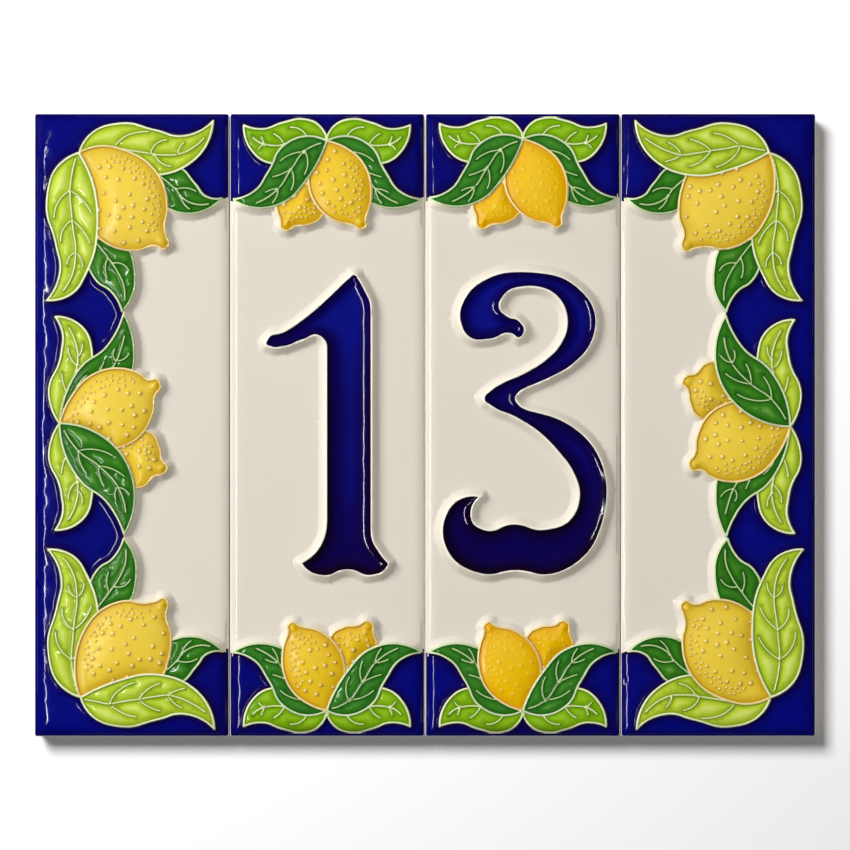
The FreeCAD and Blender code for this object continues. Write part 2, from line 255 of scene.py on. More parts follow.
class Curve:
    """A chain of arcs: the closed outline of a motif, or an open rib or vein."""

    def __init__(self, arcs: list[Arc], closed: bool) -> None:
        """Keep the arcs and the box round them.

        Args:
            arcs: The arcs, anticlockwise if closed.
            closed: Whether the chain returns to its start.
        """
        self.arcs = arcs
        self.closed = closed
        self.polygon = np.array([arc.at(k / 8) for arc in arcs for k in range(8)])
        self.low = complex(self.polygon.real.min(), self.polygon.imag.min())
        self.high = complex(self.polygon.real.max(), self.polygon.imag.max())

    def close_to(self, points: Points, reach: float) -> np.ndarray:
        """Mark the points that lie in the box round the curve.

        Args:
            points: The points.
            reach: How far the box is grown on each side.

        Returns:
            Whether each point lies in the box.
        """
        low, high = self.low - reach * (1 + 1j), self.high + reach * (1 + 1j)
        across = (points.real > low.real) & (points.real < high.real)
        return across & (points.imag > low.imag) & (points.imag < high.imag)

    def contains(self, points: Points) -> np.ndarray:
        """Mark the points inside the closed outline.

        Args:
            points: The points.

        Returns:
            Whether each point lies inside.
        """
        inside = np.zeros(points.shape, bool)
        ends = np.roll(self.polygon, -1)
        keep = np.flatnonzero(self.close_to(points, 0.0))
        run, rise = ends.real - self.polygon.real, ends.imag - self.polygon.imag
        for some in np.array_split(keep, max(1, keep.size // BATCH)):
            x, y = points[some].real[:, None], points[some].imag[:, None]
            crossing = (self.polygon.imag > y) != (ends.imag > y)
            at = self.polygon.real + (y - self.polygon.imag) * run / (rise + 1e-30)
            inside[some] = (crossing & (x < at)).sum(axis=1) % 2 == 1
        return inside

    def distance(self, points: Points, reach: float) -> Field:
        """Measure how far points lie from the curve.

        Args:
            points: The points to measure.
            reach: Beyond this, a point counts as far away.

        Returns:
            The distance in millimetres, less than zero inside a closed outline, and its gradient.
        """
        gap = np.full(points.shape, FAR)
        slope = np.zeros(points.shape, complex)
        near = self.close_to(points, reach)
        some = points[near]
        if not some.size:
            return gap, slope
        best = np.full(some.shape, np.inf)
        foot = np.zeros(some.shape, complex)
        right = np.zeros(some.shape, complex)
        for arc in self.arcs:
            place, side = arc.nearest(some)
            off = np.abs(some - place)
            better = off < best
            best[better], foot[better], right[better] = off[better], place[better], side[better]
        sign = np.where(self.contains(some), -1.0, 1.0) if self.closed else np.ones(some.shape)
        away = sign * (some - foot) / np.maximum(best, 1e-9)
        away = np.where(best > ON_LINE, away, right if self.closed else 0)
        gap[near] = sign * best
        slope[near] = away
        return gap, slope

    def stations(self, step: float, fan: bool = False) -> tuple[Points, Points]:
        """Space places evenly along the curve.

        Args:
            step: The longest gap between them, in millimetres.
            fan: Whether a convex corner gets extra directions, for a line outside it.

        Returns:
            The places, and the direction to the right of travel at each.
        """
        places: list[complex] = []
        sides: list[complex] = []
        carry = 0.0
        for number, arc in enumerate(self.arcs):
            length = arc.length()
            if length < 0.5 * step and carry + length < step and number:
                carry += length
            else:
                carry = 0.0
                count = max(1, math.ceil(length / step - 1e-6))
                spots = [arc.at(k / count) for k in range(count)]
                places += spots
                sides += [-1j * arc.way_at(spot) for spot in spots]
            if fan and (self.closed or number + 1 < len(self.arcs)):
                extra = self.fan(arc, self.arcs[(number + 1) % len(self.arcs)])
                places += [arc.end] * len(extra)
                sides += extra
        if not self.closed:
            places.append(self.arcs[-1].end)
            sides.append(-1j * self.arcs[-1].way_at(self.arcs[-1].end))
        return np.array(places), np.array(sides)

    def fan(self, arc: Arc, following: Arc) -> list[complex]:
        """Turn step by step round a convex corner.

        Args:
            arc: The arc that ends at the corner.
            following: The arc that starts there.

        Returns:
            The directions outwards, and none where there is no such corner.
        """
        one = -1j * arc.way_at(arc.end)
        two = -1j * following.way_at(following.start)
        turn = math.atan2((one.conjugate() * two).imag, dot(one, two))
        if turn <= SHARP_TURN:
            return []
        count = max(2, math.ceil(turn / FAN_STEP))
        return [one * unit(turn * k / count) for k in range(count)]


def smooth_least(one: Field, two: Field, blend: float) -> Field:
    """Take the lesser of two fields, rounded where they meet.

    Args:
        one: A value and its gradient at each point.
        two: The other value and gradient.
        blend: How wide the rounding is, in millimetres.

    Returns:
        The value and gradient of the result.
    """
    share = np.clip(0.5 + 0.5 * (two[0] - one[0]) / blend, 0, 1)
    value = two[0] * (1 - share) + one[0] * share - blend * share * (1 - share)
    return value, one[1] * share + two[1] * (1 - share)


def smooth_most(one: Field, two: Field, blend: float) -> Field:
    """Take the greater of two fields, rounded where they meet."""
    value, slope = smooth_least((-one[0], -one[1]), (-two[0], -two[1]), blend)
    return -value, -slope


def through(way: Field, value: Profile, rate: Profile) -> Field:
    """Pass a field through a profile.

    Args:
        way: The field that the profile is a function of.
        value: The profile.
        rate: The profile's own rate of change.

    Returns:
        The profile's value and gradient at each point.
    """
    return value(way[0]), rate(way[0]) * way[1]


def ridge(way: Field, half: float) -> Field:
    """A rounded ridge, one high on its line and nothing a half width away.

    Args:
        way: The distance from the line, and its gradient.
        half: Half the ridge's width.

    Returns:
        The height and its gradient.
    """
    return through(
        way,
        lambda gap: np.where(np.abs(gap) < half, (1 - (gap / half) ** 2) ** 2, 0.0),
        lambda gap: np.where(np.abs(gap) < half, -4 * gap / half**2 * (1 - (gap / half) ** 2), 0.0),
    )


def swell(way: Field, run: float) -> Field:
    """A cushion that starts level at an edge and reaches one within about two runs of it.

    Args:
        way: The distance from the line, and its gradient.
        run: How soon it rises, in millimetres.

    Returns:
        The share and its gradient.
    """
    return through(
        way,
        lambda gap: 1 - np.exp(-((gap / run) ** 2)),
        lambda gap: 2 * gap / run**2 * np.exp(-((gap / run) ** 2)),
    )


def meniscus(way: Field, run: float | np.ndarray) -> Field:
    """Shape the glaze that creeps up a ridge.

    Args:
        way: The distance from the ridge, and its gradient.
        run: How soon the creep fades, in millimetres.

    Returns:
        A share that is one at the ridge and gone within a few runs of it.
    """
    reach = np.sqrt(way[0] ** 2 + CREEP_EASE**2)
    share = np.exp(-(reach - CREEP_EASE) / run)
    return share, -share * way[0] / reach / run * way[1]


def waviness(points: Points, height: float) -> Field:
    """The slight swell of a fired glaze surface.

    Args:
        points: The points on the tile.
        height: How high the waves stand, in millimetres.

    Returns:
        The height and gradient of the waves.
    """
    waves = ((0.9 + 0.35j, 0.3), (-0.4 + 0.75j, 1.9), (0.55 - 1.05j, 4.1), (1.3 + 0.9j, 2.6))
    total = np.zeros(points.shape)
    slope = np.zeros(points.shape, complex)
    for wave, phase in waves:
        turn = (np.conj(wave) * points).real + phase
        total += height * np.sin(turn)
        slope += height * np.cos(turn) * wave
    return total, slope


def flank(way: Field, run: float) -> Field:
    """A mound's side: one and steep at its crest, then easing to level at its foot, a run away.

    Args:
        way: The distance from the line, and its gradient.
        run: The mound's width, in millimetres.

    Returns:
        The share and its gradient.
    """
    return through(
        way,
        lambda gap: np.maximum(1 - gap / run, 0) ** FLANK_POWER,
        lambda gap: -FLANK_POWER / run * np.maximum(1 - gap / run, 0) ** (FLANK_POWER - 1),
    )


def lowered(height: Field, limit: Field) -> Field:
    """The height kept under a limit near the rim.

    Args:
        height: The height, and its gradient.
        limit: The limit, from nothing at the rim.

    Returns:
        The height where it is well under the limit, and nearly the limit where it is over it.
    """
    free, top = height[0], np.maximum(limit[0], 1e-6)
    total = free**4 + top**4
    by_height = top**5 * total**-1.25
    by_limit = free**5 * total**-1.25
    return free * top * total**-0.25, by_height * height[1] + by_limit * limit[1]


class Glaze(Enum):
    """The glazes and bare clays that a tile's faces wear, in the order of its material slots."""

    WHITE = 0
    COBALT = 1
    LIME = 2
    DARK_GREEN = 3
    LEMON = 4
    SUNNY = 5
    GOLDEN = 6
    LEAF_GREEN = 7
    FERN = 8
    DIGIT = 9
    RIDGE = 10
    LIME_LINE = 11
    GREEN_LINE = 12
    LEMON_LINE = 13
    BISCUIT = 14


class Shader:
    """A material's nodes, made and joined one at a time."""

    def __init__(self, name: str) -> None:
        """Make the material and find its own shader.

        Args:
            name: What the material is called.
        """
        self.material = bpy.data.materials.new(name)
        self.material.use_nodes = True
        self.nodes = self.material.node_tree.nodes
        self.surface = self.nodes["Principled BSDF"]

    def join(self, output: bpy.types.NodeSocket, socket: bpy.types.NodeSocket) -> None:
        """Lead an output into a socket."""
        self.material.node_tree.links.new(output, socket)

    def place(self) -> bpy.types.NodeSocket:
        """The place in the plaque, in metres."""
        return self.nodes.new("ShaderNodeTexCoord").outputs["Object"]

    def painted(self, name: str) -> bpy.types.NodeSocket:
        """The values that the mesh carries under a name.

        Args:
            name: The name of the mesh's layer of values.

        Returns:
            The values.
        """
        layer = self.nodes.new("ShaderNodeAttribute")
        layer.attribute_name = name
        return layer.outputs["Fac"]

    def noise(self, scale: float, detail: float) -> bpy.types.NodeSocket:
        """Make noise that stays fixed on the tile.

        Args:
            scale: How fine it is, in waves to the metre.
            detail: How many finer layers it has.

        Returns:
            The noise, about a half on average.
        """
        texture = self.nodes.new("ShaderNodeTexNoise")
        texture.inputs["Scale"].default_value = scale
        texture.inputs["Detail"].default_value = detail
        self.join(self.place(), texture.inputs["Vector"])
        return texture.outputs["Fac"]

    def times_plus(
        self, value: bpy.types.NodeSocket, factor: float, more: bpy.types.NodeSocket
    ) -> bpy.types.NodeSocket:
        """Multiply a value and add another.

        Args:
            value: The value.
            factor: What it is multiplied by.
            more: What is added.

        Returns:
            The sum.
        """
        sum_node = self.nodes.new("ShaderNodeMath")
        sum_node.operation = "MULTIPLY_ADD"
        sum_node.inputs[1].default_value = factor
        self.join(value, sum_node.inputs[0])
        self.join(more, sum_node.inputs[2])
        return sum_node.outputs[0]

    def mixed(self, blend: str) -> bpy.types.ShaderNode:
        """Make a node that mixes two colours.

        Args:
            blend: The way they are mixed.

        Returns:
            The node.
        """
        mix = self.nodes.new("ShaderNodeMix")
        mix.data_type = "RGBA"
        mix.blend_type = blend
        return mix

    def bump(self, height: bpy.types.NodeSocket, strength: float, depth: float) -> bpy.types.NodeSocket:
        """Roughen the surface with fine bumps.

        Args:
            height: The height of the bumps, from 0 to 1.
            strength: How strongly they show.
            depth: How deep they are, in metres.

        Returns:
            The direction that the bumpy surface looks in.
        """
        bumps = self.nodes.new("ShaderNodeBump")
        bumps.inputs["Strength"].default_value = strength
        bumps.inputs["Distance"].default_value = depth
        self.join(height, bumps.inputs["Height"])
        self.join(bumps.outputs["Normal"], self.surface.inputs["Normal"])
        return bumps.outputs["Normal"]


@dataclass(frozen=True)
class GlazeFinish:
    """A glossy glaze whose colour runs from one tone beside the ridges to another in the middle of its pools,
    with small clouds and ripples; where the tone beside the ridges is darker, it is partly the glaze's own
    and partly painted shade.
    """

    name: str
    thin: Colour
    body: Colour
    deep: Colour
    # The colour of a raised pore's pale top: glaze break with a painted highlight.
    break_and_highlight_colour: Colour = (1.0, 1.0, 1.0, 1.0)
    turn: float = 0.45
    cloud: float = 0.12
    cloud_size: float = 160.0
    fall: float = 0.0
    grain: float = 0.05
    grain_size: float = 1400.0
    ripple: float = 0.02
    ripple_size: float = 420.0
    ripple_depth: float = 0.0004
    roughness: float = 0.09
    coat: float = 0.5

    def material(self) -> bpy.types.Material:
        """Make the finish's shader.

        Returns:
            The material.
        """
        shader = Shader(self.name)
        shader.surface.inputs["Roughness"].default_value = self.roughness
        shader.surface.inputs["IOR"].default_value = 1.5
        shader.surface.inputs["Coat Weight"].default_value = self.coat
        shader.surface.inputs["Coat Roughness"].default_value = 0.03
        shade = shader.nodes.new("ShaderNodeMapRange")
        shade.inputs["To Min"].default_value = 1 - self.grain
        shade.inputs["To Max"].default_value = 1 + self.grain
        shader.join(shader.noise(self.grain_size, 2.0), shade.inputs["Value"])
        tint = shader.mixed("MULTIPLY")
        tint.inputs["Factor"].default_value = 1.0
        shader.join(self.depth_colour(shader), tint.inputs["A"])
        shader.join(shade.outputs["Result"], tint.inputs["B"])
        # Pale pore tops, glaze break with a painted highlight, mixed over the glaze.
        pale_tops_mix = shader.mixed("MIX")
        pale_tops_mix.inputs["B"].default_value = self.break_and_highlight_colour
        shader.join(shader.painted("glaze_break_and_highlight"), pale_tops_mix.inputs["Factor"])
        shader.join(tint.outputs["Result"], pale_tops_mix.inputs["A"])
        shader.join(pale_tops_mix.outputs["Result"], shader.surface.inputs["Base Color"])
        look = shader.bump(shader.noise(self.ripple_size, 1.0), self.ripple, self.ripple_depth)
        shader.join(look, shader.surface.inputs["Coat Normal"])
        return shader.material

    def depth_colour(self, shader: Shader) -> bpy.types.NodeSocket:
        """Colour the glaze by its share of pool depth, with clouds and a slow change up the tile; a darker
        tone beside the ridges is partly painted shade, and the dark ring round each pore is painted shade.

        Args:
            shader: The material's nodes.

        Returns:
            The colour.
        """
        height = shader.nodes.new("ShaderNodeSeparateXYZ")
        shader.join(shader.place(), height.inputs["Vector"])
        fallen = shader.times_plus(height.outputs["Z"], self.fall, shader.painted("pool_depth_and_shade"))
        lower = shader.nodes.new("ShaderNodeMath")
        lower.operation = "SUBTRACT"
        lower.inputs[1].default_value = self.cloud
        shader.join(fallen, lower.inputs[0])
        clouded = shader.times_plus(shader.noise(self.cloud_size, 4.0), self.cloud * 2, lower.outputs[0])
        ramp = shader.nodes.new("ShaderNodeValToRGB")
        ramp.color_ramp.elements[0].color = self.thin
        ramp.color_ramp.elements[1].color = self.deep
        ramp.color_ramp.elements.new(self.turn).color = self.body
        shader.join(clouded, ramp.inputs["Fac"])
        return ramp.outputs["Color"]


@dataclass(frozen=True)
class LeafFinish(GlazeFinish):
    """The glaze of a leaf, cloudy and palest where it is deep, and darkest beside its ridges and veins,
    partly as painted shade.
    """

    turn: float = 0.65
    cloud: float = 0.3
    cloud_size: float = 110.0
    coat: float = 0.35


@dataclass(frozen=True)
class LemonFinish(GlazeFinish):
    """The glaze of a lemon, less glossy than the others."""

    cloud: float = 0.2
    cloud_size: float = 110.0
    roughness: float = 0.22
    coat: float = 0.1


@dataclass(frozen=True)
class LineFinish(GlazeFinish):
    """The thin glaze on a ridge or a vein."""

    grain: float = 0.1
    ripple: float = 0.05
    roughness: float = 0.25
    coat: float = 0.3


# Each finish runs from its colour beside the ridges, through its body, to its colour mid-pool; a darker
# colour beside the ridges is partly painted shade. A lemon's fourth colour is its pale pore tops, glaze break
# with a painted highlight.
FINISHES: dict[Glaze, GlazeFinish] = {
    Glaze.WHITE: GlazeFinish(
        "cream_white_glaze", srgb(239, 230, 209), srgb(231, 223, 208), srgb(228, 220, 206),
        cloud=0.2, cloud_size=60.0, grain=0.015, ripple=0.012,
    ),
    Glaze.COBALT: GlazeFinish(
        "cobalt_glaze", srgb(24, 3, 52), srgb(7, 2, 86), srgb(2, 7, 122),
        turn=0.5, cloud=0.42, cloud_size=22.0, grain=0.08,
    ),
    Glaze.LIME: LeafFinish(
        "lime_glaze", srgb(118, 152, 10), srgb(188, 211, 54), srgb(230, 240, 132),
        turn=0.55, cloud=0.32, coat=0.4,
    ),
    Glaze.DARK_GREEN: LeafFinish(
        "dark_green_glaze", srgb(14, 82, 10), srgb(60, 130, 32), srgb(146, 184, 98)
    ),
    Glaze.LEMON: LemonFinish(
        "lemon_glaze", srgb(190, 146, 20), srgb(222, 184, 42), srgb(241, 208, 62), srgb(255, 243, 184)
    ),
    Glaze.SUNNY: LemonFinish(
        "sunny_lemon_glaze", srgb(194, 144, 8), srgb(226, 180, 20), srgb(240, 201, 34), srgb(252, 240, 172)
    ),
    Glaze.GOLDEN: LemonFinish(
        "golden_lemon_glaze", srgb(214, 150, 0), srgb(233, 176, 0), srgb(243, 195, 0), srgb(248, 226, 130)
    ),
    Glaze.LEAF_GREEN: LeafFinish(
        "leaf_green_glaze", srgb(84, 138, 4), srgb(132, 182, 16), srgb(164, 208, 60),
        turn=0.5, cloud=0.2, cloud_size=160.0,
    ),
    Glaze.FERN: LeafFinish(
        "fern_glaze", srgb(14, 86, 14), srgb(62, 132, 40), srgb(152, 190, 106)
    ),
    Glaze.DIGIT: GlazeFinish(
        "digit_glaze", srgb(14, 0, 28), srgb(9, 0, 82), srgb(4, 11, 124),
        turn=0.7, cloud=0.36, cloud_size=30.0, fall=8.0, grain=0.08,
    ),
    Glaze.RIDGE: LineFinish(
        "cream_line", srgb(238, 233, 214), srgb(246, 242, 227), srgb(249, 246, 233), grain=0.05
    ),
    Glaze.LIME_LINE: LineFinish(
        "lime_line", srgb(224, 232, 168), srgb(234, 240, 190), srgb(243, 245, 212)
    ),
    Glaze.GREEN_LINE: LineFinish(
        "green_line", srgb(184, 207, 144), srgb(204, 221, 170), srgb(221, 231, 194)
    ),
    Glaze.LEMON_LINE: LineFinish(
        "lemon_line", srgb(230, 200, 128), srgb(240, 216, 150), srgb(246, 226, 172), grain=0.08
    ),
}


@dataclass(frozen=True)
class BiscuitFinish:
    """The bare clay of the back: buff and matt, with darker clouds and fine pores."""

    name: str = "biscuit_back"
    pale: Colour = srgb(226, 208, 180)
    dark: Colour = srgb(198, 172, 138)
    dark_until: float = 0.3
    pale_from: float = 0.65
    cloud_size: float = 220.0
    pore_size: float = 1600.0
    pore_depth: float = 0.0003

    def material(self) -> bpy.types.Material:
        """Make the clay's shader.

        Returns:
            The material.
        """
        shader = Shader(self.name)
        shader.surface.inputs["Roughness"].default_value = 0.85
        ramp = shader.nodes.new("ShaderNodeValToRGB")
        ramp.color_ramp.elements[0].position = self.dark_until
        ramp.color_ramp.elements[0].color = self.dark
        ramp.color_ramp.elements[1].position = self.pale_from
        ramp.color_ramp.elements[1].color = self.pale
        shader.join(shader.noise(self.cloud_size, 8.0), ramp.inputs["Fac"])
        shader.join(ramp.outputs["Color"], shader.surface.inputs["Base Color"])
        shader.bump(shader.noise(self.pore_size, 3.0), 0.35, self.pore_depth)
        return shader.material


@dataclass(frozen=True)
class Placing:
    """Where a drawing's base stands on its tile, and whether it is mirrored."""

    base: complex
    mirror_x: int = 1
    mirror_y: int = 1
    shift: float = 0.0

    def put(self, knots: Sequence[complex]) -> list[complex]:
        """Stand knots on the tile.

        Args:
            knots: The knots of a drawing, from its base.

        Returns:
            The knots where they stand.
        """
        across = [self.mirror_x * (knot.real + self.shift) for knot in knots]
        up = [self.mirror_y * knot.imag for knot in knots]
        return [self.base + complex(one, two) for one, two in zip(across, up)]


def closed_outline(runs: Sequence[Sequence[complex]]) -> Curve:
    """Join smooth runs into an anticlockwise outline.

    Args:
        runs: The runs, each ending where the next starts.

    Returns:
        The closed curve.
    """
    knots = [knot for run in runs for knot in run]
    area = sum((one.conjugate() * two).imag for one, two in zip(knots, knots[1:] + knots[:1]))
    if area < 0:
        runs = [run[::-1] for run in runs[::-1]]
    return Curve([arc for run in runs for arc in smooth_run(run)], True)


@dataclass(frozen=True)
class Knot:
    """A pore or bud on a lemon's skin, which stands up from it."""

    place: complex
    radius: float
    rise: float
    full_marks_rise: float = 0.3

    def weight(self) -> float:
        """How strongly its pale top and its ring of painted shade show, from 0 for a flat spot to 1; the pale
        top is glaze break with a painted highlight.
        """
        return min(1.0, self.rise / self.full_marks_rise) ** 2


@dataclass(frozen=True)
class PoreKind:
    """A kind of pore: its radius, the least gap to its neighbours, its rise and how often it is tried."""

    radius: float
    gap: float
    rise: float
    tries: int


BOLD_PORE = PoreKind(0.55, 2.5, 0.42, 260)
FINE_PORE = PoreKind(0.36, 1.08, 0.3, 1600)


@dataclass
class Motif:
    """One raised shape of the relief, with a thin ridge round a pool of glaze."""

    outline: Curve
    glaze: Glaze
    line: Glaze = Glaze.RIDGE
    crest: float = 1.7
    run: float = 2.05
    deepening: float = 1.0
    sink: float = 0.38
    lip_half: float = 0.5
    ribs: list[tuple[Curve, float]] = field(default_factory=list)

    def skin(self, points: Points, edge: Field) -> Field:
        """The height inside the ridge, as a field over the points.

        Args:
            points: The points on the tile.
            edge: The distance to the nearest visible ridge round the pool.

        Returns:
            The height above the tile's face, and its gradient.
        """
        raise NotImplementedError

    def rib_gap(self, points: Points) -> np.ndarray:
        """Measure how far points lie from the edge of the nearest rib.

        Args:
            points: The points on the tile.

        Returns:
            The distances, less than zero on a rib.
        """
        gap = np.full(points.shape, FAR)
        for curve, half in self.ribs:
            gap = np.minimum(gap, curve.distance(points, 3.0)[0] - half)
        return gap

    def spots(self) -> list[Knot]:
        """The spots that need points of their own in the mesh."""
        return []

    def proud(self, points: Points) -> np.ndarray:
        """The share of pale top on raised spots, glaze break with a painted highlight, from 0 to 1."""
        return np.zeros(points.shape)

    def shaded_ring(self, points: Points) -> np.ndarray:
        """The share of painted shade in a ring beside raised spots, from 0 to 1."""
        return np.zeros(points.shape)


@dataclass
class LeafMotif(Motif):
    """A leaf: two cushioned halves between the outline and the midrib, crossed by fine veins."""

    plump: float = 0.5
    plump_run: float = 1.7
    rib_rise: float = 0.28
    rib_blend: float = 0.8
    rib_spread: float = 2.4
    vein_rise: float = 0.24
    vein_blend: float = 0.6
    vein_start: float = 0.5

    def skin(self, points: Points, edge: Field) -> Field:
        """Shape the leaf's blade.

        Args:
            points: The points on the tile.
            edge: The distance to the nearest visible ridge round the blade.

        Returns:
            The height above the tile's face, and its gradient.
        """
        height = np.full(points.shape, self.crest - self.sink)
        slope = np.zeros(points.shape, complex)
        bed = edge
        for place, (curve, half) in enumerate(self.ribs):
            gap = curve.distance(points, 4.0)
            if place == 0:
                rise = self.rib_rise
                bed = smooth_least(bed, gap, self.rib_blend)
            else:
                rise = self.vein_rise
                bed = smooth_least(bed, (gap[0] + self.vein_start, gap[1]), self.vein_blend)
            bump = ridge(gap, half * self.rib_spread)
            height = height + rise * bump[0]
            slope = slope + rise * bump[1]
        full = swell((np.maximum(bed[0], 0), bed[1]), self.plump_run)
        return height + self.plump * full[0], slope + self.plump * full[1]


@dataclass
class LemonMotif(Motif):
    """A lemon: a plain band inside its ridge, then a dome with raised pores and a bud at its end."""

    middle: complex = 0j
    radius: float = 10.0
    bud: complex = 0j
    bud_radius: float = 1.1
    bud_rise: float = 0.35
    dome: float = 0.95
    dome_run: float = 3.2
    cushion: float = 0.3
    cushion_run: float = 1.3
    pore_reach: float = 2.6
    pore_slope: float = 0.6
    # The pores' marks: a pale top, glaze break with a painted highlight, and a ring of painted shade round
    # each.
    top_mark_spread: float = 0.36
    shade_ring_at: float = 1.05
    shade_ring_width: float = 0.42
    pore_mark_peak: float = 0.95
    pores: list[Knot] = field(default_factory=list)

    def skin(self, points: Points, edge: Field) -> Field:
        """Shape the lemon's skin.

        Args:
            points: The points on the tile.
            edge: The distance to the nearest visible ridge round the skin.

        Returns:
            The height above the tile's face, and its gradient.
        """
        off = points - self.middle
        share = np.minimum(np.abs(off) / self.radius, 1.0)
        arch = (1 - share**2) * self.dome
        arch_slope = np.where(share < 1, -2 * off / self.radius**2, 0) * self.dome
        lift = swell(edge, self.dome_run)
        height = self.crest - self.sink + arch * lift[0]
        slope = arch_slope * lift[0] + arch * lift[1]
        rise = swell(edge, self.cushion_run)
        height, slope = height + self.cushion * rise[0], slope + self.cushion * rise[1]
        for knot in self.pores + [Knot(self.bud, self.bud_radius, self.bud_rise)]:
            near = np.abs(points - knot.place) < self.pore_reach * knot.radius
            out = points[near] - knot.place
            spread = self.pore_slope * knot.radius**2
            bump = knot.rise * np.exp(-(np.abs(out) ** 2) / spread)
            height[near] += bump
            slope[near] += bump * -2 * out / spread
        return height, slope

    def spots(self) -> list[Knot]:
        """The lemon's raised pores."""
        return self.pores

    def proud(self, points: Points) -> np.ndarray:
        """Work out the pale tops of the pores, glaze break with a painted highlight.

        Args:
            points: The points on the tile.

        Returns:
            The share of pale top, from 0 to 1.
        """
        share = np.zeros(points.shape)
        for knot in self.pores:
            off = np.abs(points - knot.place)
            top = np.exp(-(off**2) / (self.top_mark_spread * knot.radius**2))
            share = np.maximum(share, self.pore_mark_peak * knot.weight() * top)
        return share

    def shaded_ring(self, points: Points) -> np.ndarray:
        """Work out the painted shade in a ring round each pore, which darkens the glaze there.

        Args:
            points: The points on the tile.

        Returns:
            The share of painted shade, from 0 to 1.
        """
        share = np.zeros(points.shape)
        for knot in self.pores:
            off = np.abs(points - knot.place) - self.shade_ring_at * knot.radius
            ring = np.exp(-((off / (self.shade_ring_width * knot.radius)) ** 2))
            share = np.maximum(share, self.pore_mark_peak * knot.weight() * ring)
        return share


@dataclass
class DigitMotif(Motif):
    """A digit: a dished pool of cobalt glaze inside its ridge."""

    sink: float = 0.12
    dish: float = 1.05
    dish_run: float = 1.7
    wave: float = 0.005
    deepening: float = 0.55

    def skin(self, points: Points, edge: Field) -> Field:
        """Shape the dished glaze.

        Args:
            points: The points on the tile.
            edge: The distance to the digit's ridge.

        Returns:
            The height above the tile's face, and its gradient.
        """
        bowl = meniscus(edge, self.dish_run)
        wave = waviness(points, self.wave)
        height = self.crest - self.sink - self.dish * (1 - bowl[0]) + wave[0]
        return height, self.dish * bowl[1] + wave[1]


@dataclass(frozen=True)
class LeafDrawing:
    """A leaf's ridge and ribs, as knots from the base of its cluster."""

    base: complex
    side_a: tuple[complex, ...]
    tip: complex
    side_b: tuple[complex, ...]
    midrib: tuple[complex, ...]
    veins: tuple[tuple[complex, ...], ...]
    rib_half: float = 0.19
    vein_half: float = 0.16

    def motif(self, placing: Placing, glaze: Glaze) -> LeafMotif:
        """Stand the leaf on the tile.

        Args:
            placing: Where it stands.
            glaze: What its pools are filled with.

        Returns:
            The leaf.
        """
        sides = ((self.base, *self.side_a, self.tip), (self.tip, *self.side_b, self.base))
        outline = closed_outline([placing.put(side) for side in sides])
        paths = [(self.midrib, self.rib_half)] + [(vein, self.vein_half) for vein in self.veins]
        ribs = [(Curve(smooth_run(placing.put(path)), False), half) for path, half in paths]
        line = Glaze.LIME_LINE if glaze in (Glaze.LIME, Glaze.LEAF_GREEN) else Glaze.GREEN_LINE
        return LeafMotif(outline, glaze, line, ribs=ribs)


@dataclass(frozen=True)
class LemonDrawing:
    """A lemon's ridge, dome and bud, from the base of its cluster, and how its pores are spread."""

    run: tuple[complex, ...]
    middle: complex
    radius: float
    bud: complex
    crowd: complex
    seed: int
    plain_band: float = 1.7
    dome: float = 0.76

    def motif(self, placing: Placing, glaze: Glaze = Glaze.LEMON, bold: float = 1.0) -> LemonMotif:
        """Stand the lemon on the tile.

        Args:
            placing: Where it stands.
            glaze: What its pool is filled with.
            bold: How proud the pores stand, from 0 to 1.

        Returns:
            The lemon.
        """
        outline = closed_outline([placing.put(self.run)])
        middle, bud = placing.put([self.middle, self.bud])
        crowd = complex(self.crowd.real * placing.mirror_x, self.crowd.imag * placing.mirror_y)
        pores = self.scatter(outline, middle, crowd, bold)
        return LemonMotif(
            outline,
            glaze,
            Glaze.LEMON_LINE,
            middle=middle,
            radius=self.radius,
            bud=bud,
            pores=pores,
            dome=self.dome * (0.6 + 0.4 * bold),
        )

    def scatter(self, outline: Curve, middle: complex, crowd: complex, bold: float) -> list[Knot]:
        """Spread the pores: bold ones apart, and a crowd of fine ones along one side.

        Args:
            outline: The lemon's ridge.
            middle: The middle of its dome.
            crowd: The way from the middle to the crowded side.
            bold: How proud the pores stand.

        Returns:
            The pores.
        """
        dice = random.Random(self.seed)
        tries = [kind for kind in (BOLD_PORE, FINE_PORE) for _ in range(kind.tries)]
        leans = [(dice.uniform(0, 2 * math.pi), math.sqrt(dice.random()) * self.radius) for _ in tries]
        places = np.array([middle + reach * unit(lean) for lean, reach in leans])
        insets = -outline.distance(places, 1.0)[0]
        pores: list[Knot] = []
        for kind, place, inset in zip(tries, places, insets):
            side = dot(crowd, place - middle) / self.radius
            fine = kind is FINE_PORE
            if inset < self.plain_band or (fine and (inset > 4.6 or side < 0.3 * dice.random() - 0.05)):
                continue
            if not fine and inset < 4.2 and side > 0:
                continue
            gaps = [kind.gap if other.radius < 0.42 else max(kind.gap, 1.5) for other in pores]
            if all(abs(place - other.place) > gap for other, gap in zip(pores, gaps)):
                size = kind.radius * dice.uniform(0.8, 1.1)
                pores.append(Knot(complex(place), size, bold * kind.rise))
        return pores


